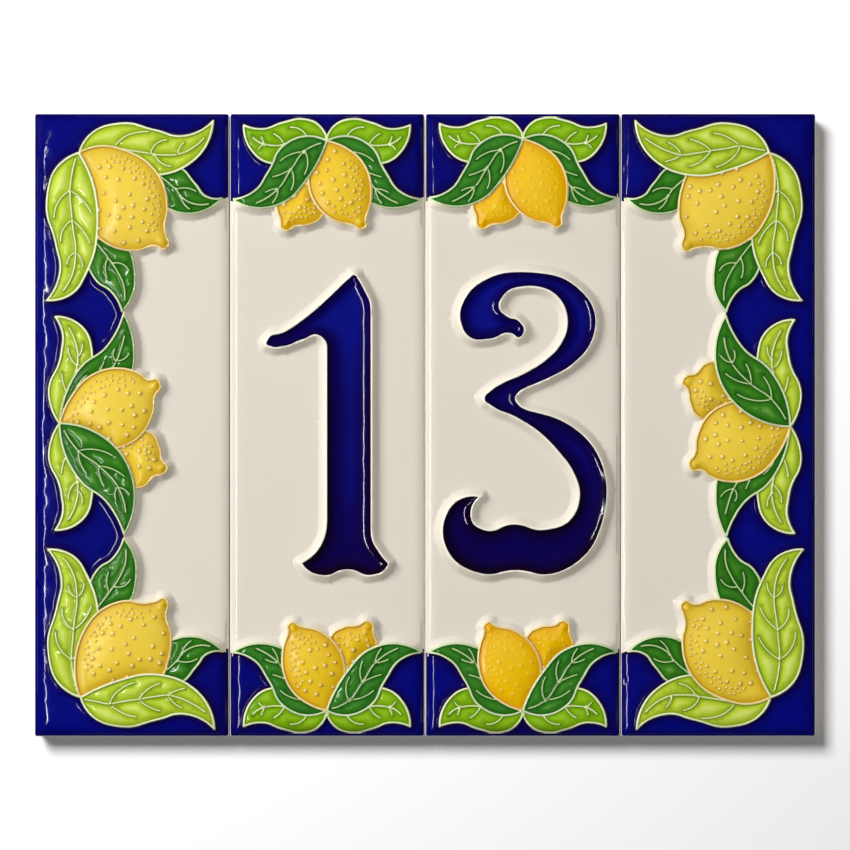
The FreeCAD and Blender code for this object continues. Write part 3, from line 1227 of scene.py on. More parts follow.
# The drawings, in millimetres from the base of their cluster, before they are stood on a tile.
HANGING_LEAF = LeafDrawing(
    0j,
    (-5.0 - 3.0j, -8.3 - 13.0j, -5.8 - 23.5j, -4.7 - 29.5j),
    -8.3 - 37.7j,
    (-3.0 - 36.7j, 2.9 - 28.5j, 4.8 - 17.5j, 3.5 - 7.5j),
    (-0.8 - 1.5j, -2.1 - 8.0j, -1.6 - 18.0j, -0.8 - 25.5j, -1.6 - 31.0j, -4.0 - 35.3j),
    (
        (-2.2 - 9.6j, -4.6 - 11.6j, -6.3 - 16.6j), (-2.2 - 9.6j, 0.6 - 11.6j, 3.2 - 15.3j),
        (-1.7 - 17.2j, -3.6 - 18.9j, -4.6 - 22.6j), (-1.7 - 17.2j, 0.7 - 19.3j, 2.9 - 23.2j),
        (-0.8 - 25.4j, -2.2 - 26.4j, -3.0 - 28.5j), (-0.8 - 25.4j, 0.3 - 26.6j, 1.0 - 29.2j),
    ),
)
REACHING_LEAF = LeafDrawing(
    0.2 + 0.2j,
    (3.0 + 4.8j, 11.5 + 7.7j, 19.5 + 5.9j, 26.0 + 4.3j),
    34.3 + 8.3j,
    (32.6 + 2.0j, 26.5 - 3.8j, 19.5 - 5.7j, 8.0 - 3.5j),
    (8.0 + 1.7j, 16.4 + 0.2j, 22.0 - 0.5j, 26.0 - 0.2j, 29.0 + 1.2j, 32.1 + 3.9j),
    (
        (9.3 + 1.7j, 12.0 + 4.3j, 15.0 + 5.3j, 17.8 + 5.5j), (18.4 + 0.0j, 19.8 + 2.3j, 22.6 + 3.4j),
        (25.4 - 0.2j, 25.9 + 1.5j, 26.9 + 2.7j), (19.4 - 0.4j, 21.1 - 2.5j, 23.8 - 3.4j),
    ),
)
FRONT_REACHING_LEAF = replace(
    REACHING_LEAF,
    midrib=(
        1.2 + 0.7j, 4.2 + 1.2j, 7.5 + 1.8j, 10.8 + 1.2j, 15.0 + 0.6j, 18.6 + 0.0j, 22.6 - 0.4j,
        25.8 + 0.4j,
        28.8 + 1.8j, 32.0 + 3.9j,
    ),
    veins=(
        (7.7 + 1.5j, 8.4 + 0.0j, 10.5 - 2.1j, 13.8 - 3.6j),
        (7.9 + 2.2j, 9.9 + 3.6j, 12.0 + 4.6j, 14.4 + 5.1j),
        (15.2 + 0.3j, 16.2 - 0.9j, 18.0 - 2.4j, 20.5 - 3.4j),
        (15.3 + 0.9j, 16.8 + 2.1j, 18.6 + 3.0j, 20.5 + 3.6j),
        (22.8 - 0.6j, 23.7 - 1.2j, 25.2 - 1.8j, 26.8 - 2.2j),
        (22.8 + 0.0j, 23.4 + 0.9j, 24.9 + 2.2j, 26.1 + 2.8j),
    ),
)
SIDE_DARK_LEAF = LeafDrawing(
    18.5 - 3.5j,
    (26.0 - 3.8j, 29.8 - 7.9j, 32.4 - 11.0j),
    36.5 - 11.5j,
    (34.0 - 13.8j, 28.5 - 15.5j, 23.0 - 14.2j),
    (20.5 - 5.8j, 24.7 - 9.2j, 26.6 - 11.5j, 29.5 - 13.0j, 33.1 - 13.0j),
    ((24.9 - 9.3j, 27.0 - 8.9j, 30.0 - 9.8j), (26.0 - 10.8j, 26.8 - 12.8j, 28.3 - 14.3j)),
)
LOW_DARK_LEAF = LeafDrawing(
    4.0 - 20.5j,
    (2.2 - 27.0j, 4.6 - 32.7j, 8.4 - 35.5j),
    11.1 - 40.5j,
    (13.9 - 36.0j, 14.4 - 31.0j, 12.0 - 23.5j),
    (4.7 - 23.2j, 7.8 - 27.2j, 10.0 - 30.5j, 11.5 - 34.0j, 11.7 - 37.6j),
    ((8.7 - 28.2j, 10.9 - 28.3j, 12.9 - 30.2j), (7.4 - 26.9j, 6.8 - 29.5j, 7.3 - 32.0j)),
)
UPPER_LEMON = LemonDrawing(
    (
        0.0 + 0.0j, 5.5 + 1.8j, 12.0 + 0.6j, 18.0 - 2.8j, 21.8 - 8.5j, 22.7 - 14.5j, 22.0 - 19.5j,
        22.6 - 21.6j,
        23.1 - 23.4j, 22.2 - 24.5j, 19.6 - 23.7j, 15.0 - 24.9j, 9.5 - 24.2j, 4.9 - 21.4j,
        0.6 - 12.0j, 0.0 + 0.0j,
    ),
    12.3 - 11.8j, 11.5, 21.4 - 22.7j, 0.8 + 0.6j, 11,
)
LOWER_LEMON = LemonDrawing(
    (
        0.2 - 0.3j, -1.0 - 7.5j, 0.8 - 15.8j, 5.3 - 21.9j, 11.5 - 24.5j, 17.4 - 24.0j,
        19.6 - 24.4j, 21.9 - 25.2j,
        22.9 - 23.8j, 22.3 - 21.2j, 23.6 - 16.0j, 23.2 - 10.3j, 20.5 - 4.0j, 12.0 + 1.0j, 0.2 - 0.3j,
    ),
    12.0 - 12.5j, 11.5, 21.4 - 23.6j, -0.8 - 0.6j, 12,
)
MIDDLE_LIGHT_LEAF = LeafDrawing(
    0j,
    (-2.8 + 7.4j, 0.4 + 17.6j, 0.8 + 23.1j),
    -1.1 + 27.3j,
    (5.6 + 24.8j, 8.4 + 16.0j, 3.4 + 4.2j),
    (2.3 + 24.6j, 4.0 + 21.0j, 4.7 + 17.5j, 4.0 + 12.5j, 1.5 + 6.5j),
    (
        (4.5 + 14.8j, 2.9 + 16.6j, 2.2 + 19.5j), (4.7 + 17.0j, 5.6 + 18.5j, 5.8 + 20.4j),
        (1.6 + 8.5j, 0.8 + 10.8j, 0.5 + 12.8j),
    ),
)
MIDDLE_UPPER_DARK_LEAF = LeafDrawing(
    0j,
    (1.3 + 6.6j, 5.0 + 13.8j, 12.5 + 20.2j),
    16.4 + 28.2j,
    (19.0 + 20.0j, 17.2 + 9.4j, 8.5 + 1.9j),
    (16.6 + 22.4j, 15.8 + 19.5j, 14.4 + 15.7j, 11.5 + 12.0j),
    (
        (14.2 + 19.1j, 13.7 + 17.2j, 14.5 + 15.9j), (17.8 + 18.0j, 16.6 + 16.6j, 14.5 + 16.0j),
        (11.4 + 15.9j, 10.8 + 14.6j, 9.6 + 12.0j), (7.0 + 12.3j, 5.2 + 10.6j, 4.0 + 8.5j),
    ),
)
MIDDLE_LOWER_DARK_LEAF = LeafDrawing(
    0j,
    (1.0 - 6.6j, 5.0 - 14.2j, 12.5 - 20.6j),
    16.5 - 28.4j,
    (19.2 - 20.0j, 16.8 - 9.4j, 8.5 - 1.9j),
    (1.2 - 1.9j, 4.8 - 7.0j, 10.2 - 11.0j, 15.0 - 16.4j, 16.9 - 22.8j),
    (
        (4.8 - 7.0j, 8.1 - 6.6j, 13.6 - 8.3j), (4.8 - 7.0j, 5.1 - 9.5j, 6.9 - 12.8j),
        (10.0 - 10.9j, 13.0 - 11.5j, 16.6 - 13.6j), (10.0 - 10.9j, 10.3 - 13.6j, 11.4 - 16.1j),
        (14.8 - 16.3j, 16.2 - 16.7j, 17.9 - 18.3j), (14.8 - 16.3j, 14.2 - 17.6j, 14.4 - 19.6j),
    ),
)
MIDDLE_LEMON = LemonDrawing(
    (
        0.0 + 0.0j, 2.6 + 6.2j, 7.7 + 12.0j, 14.0 + 14.1j, 20.3 + 12.8j, 22.9 + 11.1j,
        25.0 + 11.3j, 25.9 + 9.4j,
        24.5 + 7.2j, 23.9 + 2.7j, 21.1 - 2.8j, 14.4 - 6.4j, 5.0 - 5.6j, 0.0 + 0.0j,
    ),
    13.0 + 4.0j, 10.5, 24.3 + 9.8j, -0.7 + 0.7j, 13,
)
MIDDLE_SMALL_LEMON = LemonDrawing(
    (
        12.5 - 9.5j, 15.0 - 3.8j, 19.5 - 1.8j, 23.7 - 2.6j, 25.8 - 6.8j, 26.2 - 9.4j, 27.6 - 11.3j,
        26.5 - 13.0j,
        24.5 - 13.4j, 21.5 - 16.2j, 16.0 - 15.4j, 12.5 - 9.5j,
    ),
    19.5 - 9.0j, 7.2, 26.0 - 11.5j, 1j, 14,
)
NUMBER_LIGHT_LEAF = LeafDrawing(
    0.6j,
    (-7.0 - 3.0j, -15.3 - 5.4j, -19.9 - 1.4j),
    -21.3 + 4.1j,
    (-16.5 + 3.1j, -11.2 + 4.8j, -6.7 + 5.8j, -2.3 + 4.3j),
    (-19.0 + 1.0j, -17.2 - 0.4j, -14.5 - 1.1j, -10.5 - 0.9j),
    (
        (-9.5 + 3.5j, -7.3 + 3.2j, -5.3 + 1.5j), (-13.7 + 1.9j, -12.3 + 1.0j, -11.0 - 0.6j),
        (-16.7 + 1.2j, -16.4 + 0.2j, -15.9 - 0.8j), (-17.5 - 2.1j, -16.9 - 1.4j, -16.2 - 0.8j),
    ),
)
NUMBER_DARK_LEAF = LeafDrawing(
    0j,
    (-4.8 - 9.4j, -10.5 - 15.4j, -17.5 - 17.2j),
    -24.3 - 14.8j,
    (-18.5 - 12.8j, -14.8 - 7.6j, -11.5 - 1.6j, -5.5 + 1.2j),
    (-1.6 - 0.6j, -5.6 - 2.5j, -9.1 - 7.2j, -12.5 - 12.3j, -17.9 - 15.8j),
    (
        (-6.0 - 2.8j, -8.6 - 3.2j, -12.0 - 5.2j), (-5.6 - 2.6j, -4.9 - 5.0j, -5.7 - 8.5j),
        (-9.1 - 7.2j, -11.0 - 8.2j, -13.9 - 9.2j), (-9.1 - 7.2j, -8.5 - 9.5j, -9.2 - 12.7j),
        (-12.4 - 12.2j, -13.9 - 12.4j, -15.8 - 13.2j), (-12.4 - 12.2j, -12.8 - 14.0j, -13.9 - 15.8j),
    ),
)
NUMBER_LEMON = LemonDrawing(
    (
        0.0 + 0.0j, 4.5 - 1.6j, 8.8 - 5.0j, 11.3 - 11.0j, 11.1 - 16.5j, 9.9 - 20.3j, 10.0 - 21.8j,
        8.9 - 22.6j,
        6.8 - 21.6j, 2.5 - 20.6j, -2.0 - 17.2j, -4.5 - 12.0j, -4.0 - 6.0j, 0.0 + 0.0j,
    ),
    3.9 - 11.2j, 9.2, 8.6 - 21.0j, 0.95 - 0.3j, 15,
)
NUMBER_SMALL_LEMON = LemonDrawing(
    (
        -2.5 - 14.0j, -7.0 - 10.5j, -11.8 - 13.0j, -12.8 - 17.2j, -11.9 - 20.2j, -11.7 - 22.2j,
        -10.4 - 23.0j,
        -8.2 - 21.9j, -4.5 - 21.4j, -1.4 - 19.5j, -2.5 - 14.0j,
    ),
    -6.9 - 16.3j, 6.8, -10.5 - 21.4j, 0.4 - 0.9j, 16,
)
# The digits' outlines, in millimetres from the middle of their tile.
DIGIT_1 = (
    (
        16.0 - 35.4j, 13.3 - 32.1j, 11.9 - 29.6j, 11.5 - 26.5j, 11.5 - 25.5j, 11.5 + 27.6j, 11.5 + 28.6j,
        11.2 + 31.6j, 9.9 + 34.4j, 8.3 + 37.3j, 7.4 + 38.5j, 6.7 + 38.6j, 5.9 + 38.0j, 1.3 + 33.7j,
        -4.7 + 28.3j, -10.8 + 24.1j, -15.2 + 22.2j, -15.7 + 20.7j, -14.2 + 19.8j, -11.0 + 19.9j,
        -6.0 + 21.7j, -2.3 + 22.8j, -0.4 + 21.0j, -0.2 + 18.5j, -0.2 + 17.5j, -0.2 - 23.5j,
        -0.2 - 24.5j, -0.8 - 28.6j, -3.1 - 32.6j, -6.7 - 35.2j,
    ),
    (-6.7 - 35.2j, -4.6 - 37.6j, -1.1 - 38.7j, 5.2 - 37.2j, 11.6 - 38.6j, 14.6 - 37.5j, 16.0 - 35.4j),
)
DIGIT_3 = (
    (
        -10.7 - 18.3j, -13.1 - 21.8j, -12.6 - 25.0j, -9.7 - 26.7j, -2.5 - 25.2j, 5.5 - 26.6j,
        11.6 - 24.4j,
        14.3 - 17.5j, 12.6 - 12.0j, 8.9 - 6.9j, 3.9 - 1.9j, -2.1 + 1.9j, -7.8 + 4.5j, -10.1 + 6.7j,
        -8.1 + 9.2j,
        -5.5 + 10.8j, 0.5 + 13.5j, 5.6 + 16.7j, 9.4 + 20.7j, 11.1 + 25.0j, 8.6 + 32.8j, 1.6 + 35.3j,
        -4.8 + 33.0j, -5.9 + 30.0j, -4.0 + 28.0j,
        -1.0 + 26.8j, 0.5 + 24.2j, -0.6 + 22.3j, -3.5 + 23.3j, -8.4 + 21.8j, -13.5 + 22.1j, -16.3 + 27.0j,
        -14.1 + 33.9j, -8.4 + 38.0j, 2.0 + 39.3j, 12.2 + 36.7j, 18.7 + 28.0j, 17.5 + 20.8j, 12.8 + 15.4j,
        6.6 + 11.8j, 3.6 + 10.5j, 1.0 + 9.4j, -0.9 + 8.3j, -1.8 + 6.8j, -0.9 + 5.2j, 1.0 + 4.1j,
        3.6 + 3.4j,
        8.1 + 2.1j, 12.6 - 0.2j, 17.3 - 4.4j, 20.6 - 10.5j, 20.9 - 23.4j, 15.8 - 33.7j,
        7.0 - 38.4j, -1.7 - 37.4j, -10.5 - 38.3j, -18.6 - 33.7j, -20.4 - 24.4j, -16.4 - 18.9j,
        -10.7 - 18.3j,
    ),
)


@dataclass
class Surface:
    """What a tile's face is like at each point."""

    height: np.ndarray
    slope: np.ndarray
    glaze: np.ndarray
    # pool is the glaze's depth and, where it darkens the colour beside ridges and round pores, painted shade;
    # proud is the pale pore tops, glaze break with a painted highlight.
    pool: np.ndarray
    proud: np.ndarray


@dataclass(frozen=True)
class MeshRow:
    """A row of mesh points that follows a ridge, by its distance outside the ridge's line."""

    offset: float
    step: float
    lined: bool = False


@dataclass
class Sketch:
    """The points and lines that a mesh is drawn from."""

    points: list[complex] = field(default_factory=list)
    lines: list[tuple[int, int]] = field(default_factory=list)

    def row(self, places: Points, keep: np.ndarray, closed: bool, lined: bool) -> None:
        """Add a row of points, joined where neighbours are both kept.

        Args:
            places: The row's points in order.
            keep: Which of them to keep.
            closed: Whether the last joins the first.
            lined: Whether the mesh must have edges along the row.
        """
        numbers = []
        for place, kept in zip(places, keep):
            numbers.append(len(self.points) if kept else -1)
            if kept:
                self.points.append(complex(place))
        if lined:
            followers = numbers[1:] + (numbers[:1] if closed else [])
            self.lines += [(one, two) for one, two in zip(numbers, followers) if one >= 0 and two >= 0]

    def loop(self, places: Points) -> None:
        """Add a closed row of points that the mesh must have edges along."""
        self.row(places, np.ones(len(places), bool), True, True)

    def scatter(self, places: Points, gap: float) -> None:
        """Add those places that no point so far is near to.

        Args:
            places: The places.
            gap: How near is too near, in millimetres.
        """
        tree = KDTree(len(self.points))
        for number, point in enumerate(self.points):
            tree.insert((point.real, point.imag, 0.0), number)
        tree.balance()
        clear = [tree.find((place.real, place.imag, 0.0))[2] > gap for place in places]
        self.points += [complex(place) for place in places[np.array(clear, bool)]]

    def triangles(self) -> tuple[Points, list[tuple[int, int, int]], list[list[int]]]:
        """Fill the sketch with triangles.

        Returns:
            The corners, the triangles, and which of the sketch's points each corner stands for.
        """
        spots = [Vector((point.real, point.imag)) for point in self.points]
        corners, _, faces, origins, _, _ = delaunay_2d_cdt(spots, self.lines, [], 0, 1e-5)
        flat = np.array([complex(spot.x, spot.y) for spot in corners])
        return flat, [tuple(face) for face in faces], origins


@dataclass(frozen=True)
class Stage:
    """One ring round a tile's rim or side, and what the strip above it wears where that is fixed."""

    inset: float
    corner: float
    level: float
    lean: float
    wear: Glaze | None


@dataclass
class Shell:
    """A tile's closed mesh while it is being built, in millimetres."""

    plane: list[complex]
    heights: list[float]
    normals: list[Vector]
    # depths is the pool share, partly painted shade where it is low; prouds is the pale pore tops, glaze
    # break with a painted highlight.
    depths: list[float]
    prouds: list[float]
    corners: list[tuple[int, int, int]]
    glaze: list[int]

    def add(self, point: complex, height: float, normal: Vector, depth: float) -> int:
        """Add a point of the side or the back.

        Args:
            point: Where it is on the tile.
            height: How far it stands out of the wall.
            normal: Which way the surface looks there.
            depth: The share of full pool depth there.

        Returns:
            The point's number.
        """
        self.plane.append(point)
        self.heights.append(height)
        self.normals.append(normal)
        self.depths.append(depth)
        self.prouds.append(0.0)
        return len(self.plane) - 1


@dataclass
class ReliefTile:
    """One pressed tile: its slab, its raised motifs and the glazes in their pools."""

    name: str
    place: float
    half_turn: bool = False
    width: float = 50.0
    height: float = 160.0
    thickness: float = 8.0
    edge_round: float = 0.8
    inner_corner: float = 0.1
    outer_corner: float = 0.6
    corner_blend: float = 0.6
    pillow: float = 0.28
    pillow_run: float = 1.9
    ridge_half: float = 0.27
    crest_mark: float = 0.03
    flank_reach: float = 6.5
    flank_blend: float = 0.16
    front_blend: float = 0.5
    rim_lean: float = 0.62
    cobalt_level: float = 0.7
    rim_pool: float = 0.4
    side_depth: float = 0.6
    pool_run: float = 1.3
    wave: float = 0.014
    wave_on_white: float = 0.25
    open_run: float = 1.3
    glazed_side: float = 2.6
    face_margin: float = 0.22
    column_gap: float = 0.9
    line_gap: float = 0.78
    back_bevel: float = 0.35
    channel_pitch: float = 14.0
    channel_half: complex = 3.5 + 70.0j
    channel_corner: float = 0.9
    channel_slope: float = 0.35
    channel_depth: float = 0.8
    motifs: list[Motif] = field(default_factory=list)
    white_area: list[complex] = field(default_factory=list)

    def inset(self, points: Points) -> Field:
        """Measure how far in from the tile's nearest edge points lie.

        Args:
            points: The points to measure.

        Returns:
            The distance and its gradient.
        """
        across = self.width / 2 - np.abs(points.real)
        up = self.height / 2 - np.abs(points.imag)
        one = (across, -np.sign(points.real).astype(complex))
        two = (up, -1j * np.sign(points.imag))
        return smooth_least(one, two, self.corner_blend)

    def white_ground(self) -> Curve:
        """The outline of the white middle of the plaque, where it crosses this tile."""
        area = self.white_area
        return Curve([Arc(one, two, None, 0.0) for one, two in zip(area, area[1:] + area[:1])], True)

    def surface(self, points: Points) -> Surface:
        """Work out the tile's face.

        Args:
            points: The points to work it out at.

        Returns:
            Its height over the slab's face, gradient, glaze, share of full pool depth there, whose low end is
            partly painted shade, and the pale pore tops, glaze break with a painted highlight.
        """
        rim, rim_slope = self.inset(points)
        pale = self.white_ground().contains(points)
        face = self.bare_ground(points, (rim, rim_slope), pale)
        ground = face.height.copy()
        gaps = [motif.outline.distance(points, 7.0) for motif in self.motifs]
        for place, (motif, gap) in enumerate(zip(self.motifs, gaps)):
            level = np.where(pale, 0.0, np.minimum(ground, motif.crest))
            self.add_flank(face, motif, gap, level, pale, rim)
            inside = gap[0] <= 0
            if inside.any():
                self.add_pool(face, motif, gap, gaps[place + 1 :], points, inside)
                face.pool[np.abs(gap[0]) < self.crest_mark] = FAR
        limit = (self.rim_lean * (rim - self.edge_round), self.rim_lean * rim_slope)
        height, slope = lowered((face.height, face.slope), limit)
        wave = waviness(points, self.wave)
        open_ground = self.open_ground(rim, rim_slope, gaps)
        size = np.where(pale, self.wave_on_white, 1.0)
        height = height + size * wave[0] * open_ground[0]
        slope = slope + size * (wave[1] * open_ground[0] + wave[0] * open_ground[1])
        lean = np.clip(1 - (rim - self.edge_round) / self.pillow_run, 0, None)
        height = height - self.pillow * lean**2
        slope = slope + 2 * self.pillow * lean / self.pillow_run * rim_slope
        depth = 1 - np.exp(-np.maximum(face.pool, 0) / self.pool_run)
        return Surface(height, slope, face.glaze, depth, face.proud)

    def bare_ground(self, points: Points, rim: Field, pale: np.ndarray) -> Surface:
        """Lay the ground: level white, and cobalt that creeps up towards the rim.

        Args:
            points: The points on the tile.
            rim: The distance to the tile's edge, and its gradient.
            pale: Which points are on the white ground.

        Returns:
            The face before its motifs, with distances for pool depths.
        """
        reach = 1.9 + 0.7 * np.sin((points.real + points.imag) / 6.5)
        filled = meniscus((np.maximum(rim[0] - self.edge_round, 0), rim[1]), reach)
        return Surface(
            height=np.where(pale, 0.0, self.cobalt_level * (1 - filled[0])),
            slope=np.where(pale, 0.0, -self.cobalt_level * filled[1]),
            glaze=np.where(pale, Glaze.WHITE.value, Glaze.COBALT.value),
            pool=rim[0] + self.rim_pool,
            proud=np.zeros(points.shape),
        )

    def add_flank(
        self, face: Surface, motif: Motif, gap: Field, level: np.ndarray, pale: np.ndarray, rim: np.ndarray
    ) -> None:
        """Lay the outer side of a motif: a mound on white, a creep of glaze on cobalt.

        Args:
            face: The face so far, which is changed.
            motif: The motif.
            gap: The distance to its outline, and its gradient.
            level: How high the ground stands beside it.
            pale: Which points are on the white ground.
            rim: The distance to the tile's edge.
        """
        outside = (gap[0] > 0) & (gap[0] < self.flank_reach)
        own = (gap[0][outside], gap[1][outside])
        mound = flank(own, motif.run)
        creep = meniscus(own, 0.12 + 0.55 * np.clip((rim[outside] - 4) / 4, 0, 1))
        white, start = pale[outside], level[outside]
        side = (
            np.where(white, mound[0] * motif.crest, start + (motif.crest - start) * creep[0]),
            np.where(white, mound[1] * motif.crest, (motif.crest - start) * creep[1]),
        )
        lifted = smooth_most((face.height[outside], face.slope[outside]), side, self.flank_blend)
        face.height[outside], face.slope[outside] = lifted
        face.pool = np.where(gap[0] > 0, np.minimum(face.pool, gap[0] - self.ridge_half), face.pool)
        on_line = (gap[0] > 0) & (gap[0] < self.ridge_half)
        face.glaze = np.where(on_line, motif.line.value, face.glaze)

    def add_pool(
        self, face: Surface, motif: Motif, gap: Field, fronts: list[Field], points: Points, inside: np.ndarray
    ) -> None:
        """Lay what is inside a motif's outline: its ridge's inner side and its skin.

        Args:
            face: The face so far, which is changed.
            motif: The motif.
            gap: The distance to its outline, and its gradient.
            fronts: The same for each motif that lies in front.
            points: The points on the tile.
            inside: Which of them are inside the outline.
        """
        some = points[inside]
        own: Field = (-gap[0][inside], -gap[1][inside])
        edge = own
        for front in fronts:
            edge = smooth_least(edge, (np.maximum(front[0][inside], 0), front[1][inside]), self.front_blend)
        edge = (np.maximum(edge[0], 0), edge[1])
        skin = motif.skin(some, edge)
        lip = ridge(own, motif.lip_half)
        rest = motif.crest - skin[0]
        face.height[inside] = skin[0] + rest * lip[0]
        face.slope[inside] = skin[1] * (1 - lip[0]) + rest * lip[1]
        rib_gap = motif.rib_gap(some)
        depth = np.minimum(edge[0] - self.ridge_half, np.maximum(rib_gap, 0))
        # The pool share sets the glaze's tone; round each pore it is lowered, which paints a ring of shade.
        face.pool[inside] = depth * (1 - motif.shaded_ring(some)) * motif.deepening
        colour = np.where(rib_gap < 0, motif.line.value, motif.glaze.value)
        face.glaze[inside] = np.where(own[0] < self.ridge_half, motif.line.value, colour)
        # Pale pore tops: glaze break with a painted highlight.
        face.proud[inside] = motif.proud(some)

    def open_ground(self, rim: np.ndarray, rim_slope: np.ndarray, gaps: list[Field]) -> Field:
        """Mark the ground that lies clear of the tile's rim and of its motifs.

        Args:
            rim: The distance to the tile's edge.
            rim_slope: Its gradient.
            gaps: The distance to each motif, and its gradient.

        Returns:
            A share that is nothing at the rim and on the motifs and near one a few millimetres off.
        """
        clear, slope = np.maximum(rim - self.edge_round, 0), rim_slope
        for gap in gaps:
            nearer = gap[0] < clear
            clear = np.where(nearer, np.maximum(gap[0], 0), clear)
            slope = np.where(nearer, gap[1], slope)
        return swell((clear, slope), self.open_run)

    def ring(self, inset: float, corner: float) -> tuple[Points, Points]:
        """Walk anticlockwise round the tile at an inset from its edges.

        Args:
            inset: How far in, in millimetres.
            corner: The radius of the four corners.

        Returns:
            The points, the same number for every ring, and the outward direction at each.
        """
        half = complex(self.width / 2 - inset - corner, self.height / 2 - inset - corner)
        points: list[complex] = []
        outs: list[complex] = []
        counts = (round(self.height), round(self.width))
        for quarter in range(4):
            turn = 1j**quarter
            side = half if quarter % 2 == 0 else complex(half.imag, half.real)
            count = counts[quarter % 2]
            for k in range(1, count):
                points.append(turn * complex(side.real + corner, side.imag * (2 * k / count - 1)))
                outs.append(turn)
            for k in range(6):
                lean = unit(k * math.pi / 10)
                points.append(turn * (side + corner * lean))
                outs.append(turn * lean)
        return np.array(points), np.array(outs)

    def channel_ring(self, offset: float, inset: float) -> Points:
        """Walk anticlockwise round one of the back's channels.

        Args:
            offset: Where the channel's middle is, to the right of the tile's.
            inset: How far in from the channel's edge.

        Returns:
            The points.
        """
        half = self.channel_half - (inset + self.channel_corner) * (1 + 1j)
        ring: list[complex] = []
        for quarter in range(4):
            side = half if quarter % 2 == 0 else complex(half.imag, half.real)
            corner = [side + self.channel_corner * unit(k * math.pi / 8) for k in range(5)]
            ring += [offset + 1j**quarter * point for point in corner]
        return np.array(ring)

    def sketch(self) -> Sketch:
        """Draw the rows and spots that the face's mesh follows.

        Returns:
            The sketch, whose first points are the ring round the face.
        """
        sketch = Sketch()
        sketch.loop(self.ring(self.edge_round, self.inner_corner)[0])
        for place in range(len(self.motifs)):
            self.draw_ridge(sketch, place)
            self.draw_ribs(sketch, place)
        self.draw_rim(sketch)
        self.draw_white_edge(sketch)
        self.draw_pores(sketch)
        self.draw_grid(sketch)
        return sketch

    def face_half(self) -> complex:
        """Half the width and height of the part of the face that mesh rows may use."""
        across = self.width / 2 - self.edge_round - self.face_margin
        return complex(across, self.height / 2 - self.edge_round - self.face_margin)

    def on_face(self, line: Points) -> np.ndarray:
        """Mark the points of a row that are far enough from the rim."""
        half = self.face_half()
        return (np.abs(line.real) < half.real) & (np.abs(line.imag) < half.imag)

    def ridge_rows(self, motif: Motif) -> list[MeshRow]:
        """List the rows of points beside a motif's ridge, with the two edges of its line first.

        Args:
            motif: The motif.

        Returns:
            The rows, in the order in which they are drawn.
        """
        rows = [MeshRow(self.ridge_half, 0.45, True), MeshRow(-self.ridge_half, 0.45, True)]
        steps = ((0.0, 0.45), (0.48, 0.6), (-0.48, 0.6), (-0.65, 0.8), (0.72, 0.9), (1.1, 1.0), (1.5, 1.1))
        rows += [MeshRow(offset, step) for offset, step in steps]
        return rows + [MeshRow(motif.run, 1.2), MeshRow(-1.05, 1.1)]

    def draw_ridge(self, sketch: Sketch, place: int) -> None:
        """Draw the rows beside a motif's ridge, as far as no other motif is in the way.

        Args:
            sketch: The sketch so far, which is changed.
            place: The motif's place in the order from back to front.
        """
        motif = self.motifs[place]
        for row in self.ridge_rows(motif):
            spots, outs = motif.outline.stations(row.step, fan=row.offset > 0)
            line = spots + outs * row.offset
            keep = self.on_face(line)
            keep &= np.abs(motif.outline.distance(line, 5.0)[0] - row.offset) < 0.02
            for other_place, other in enumerate(self.motifs):
                if other is motif:
                    continue
                gap, _ = other.outline.distance(line, 5.0)
                if other_place > place:
                    keep &= gap > max(0.48, min(row.offset, motif.run))
                elif row.offset > 0.5:
                    keep &= (gap > row.offset) | (gap < -0.6)
            sketch.row(line, keep, True, row.lined)

    def draw_ribs(self, sketch: Sketch, place: int) -> None:
        """Draw the rows along a motif's ribs, clear of each other and of what lies in front.

        Args:
            sketch: The sketch so far, which is changed.
            place: The motif's place in the order from back to front.
        """
        motif = self.motifs[place]
        for curve, half in motif.ribs:
            for offset in (half, -half, 0.0, 2.2 * half, -2.2 * half):
                spots, outs = curve.stations(0.5 if abs(offset) <= half else 0.8)
                line = spots + outs * offset
                keep = self.on_face(line)
                keep &= motif.outline.distance(line, 5.0)[0] < -0.55
                keep &= np.abs(curve.distance(line, 3.0)[0] - abs(offset)) < 0.02
                for other, width in motif.ribs:
                    if other is not curve:
                        keep &= other.distance(line, 3.0)[0] > width + 0.12
                for front in self.motifs[place + 1 :]:
                    keep &= front.outline.distance(line, 5.0)[0] > 0.55
                sketch.row(line, keep, False, abs(offset) == half)

    def draw_rim(self, sketch: Sketch) -> None:
        """Draw four rows of points just inside the rim, clear of the ridges and ribs.

        Args:
            sketch: The sketch so far, which is changed.
        """
        for reach in (0.3, 0.65, 1.05, 1.5):
            line = self.ring(self.edge_round + reach, self.inner_corner)[0]
            keep = np.ones(line.shape, bool)
            for motif in self.motifs:
                keep &= np.abs(motif.outline.distance(line, 5.0)[0]) > 0.4
                for curve, half in motif.ribs:
                    keep &= curve.distance(line, 3.0)[0] > half + 0.2
            sketch.scatter(line[keep], 0.2)

    def draw_white_edge(self, sketch: Sketch) -> None:
        """Draw the line between the white ground and the cobalt, where no motif covers it.

        Args:
            sketch: The sketch so far, which is changed.
        """
        for side in self.white_ground().arcs:
            count = max(1, round(side.length() / 0.5))
            line = side.start + (side.end - side.start) * np.arange(count + 1) / count
            keep = self.on_face(line)
            for motif in self.motifs:
                keep &= motif.outline.distance(line, 5.0)[0] > 0.4
            sketch.row(line, keep, False, True)

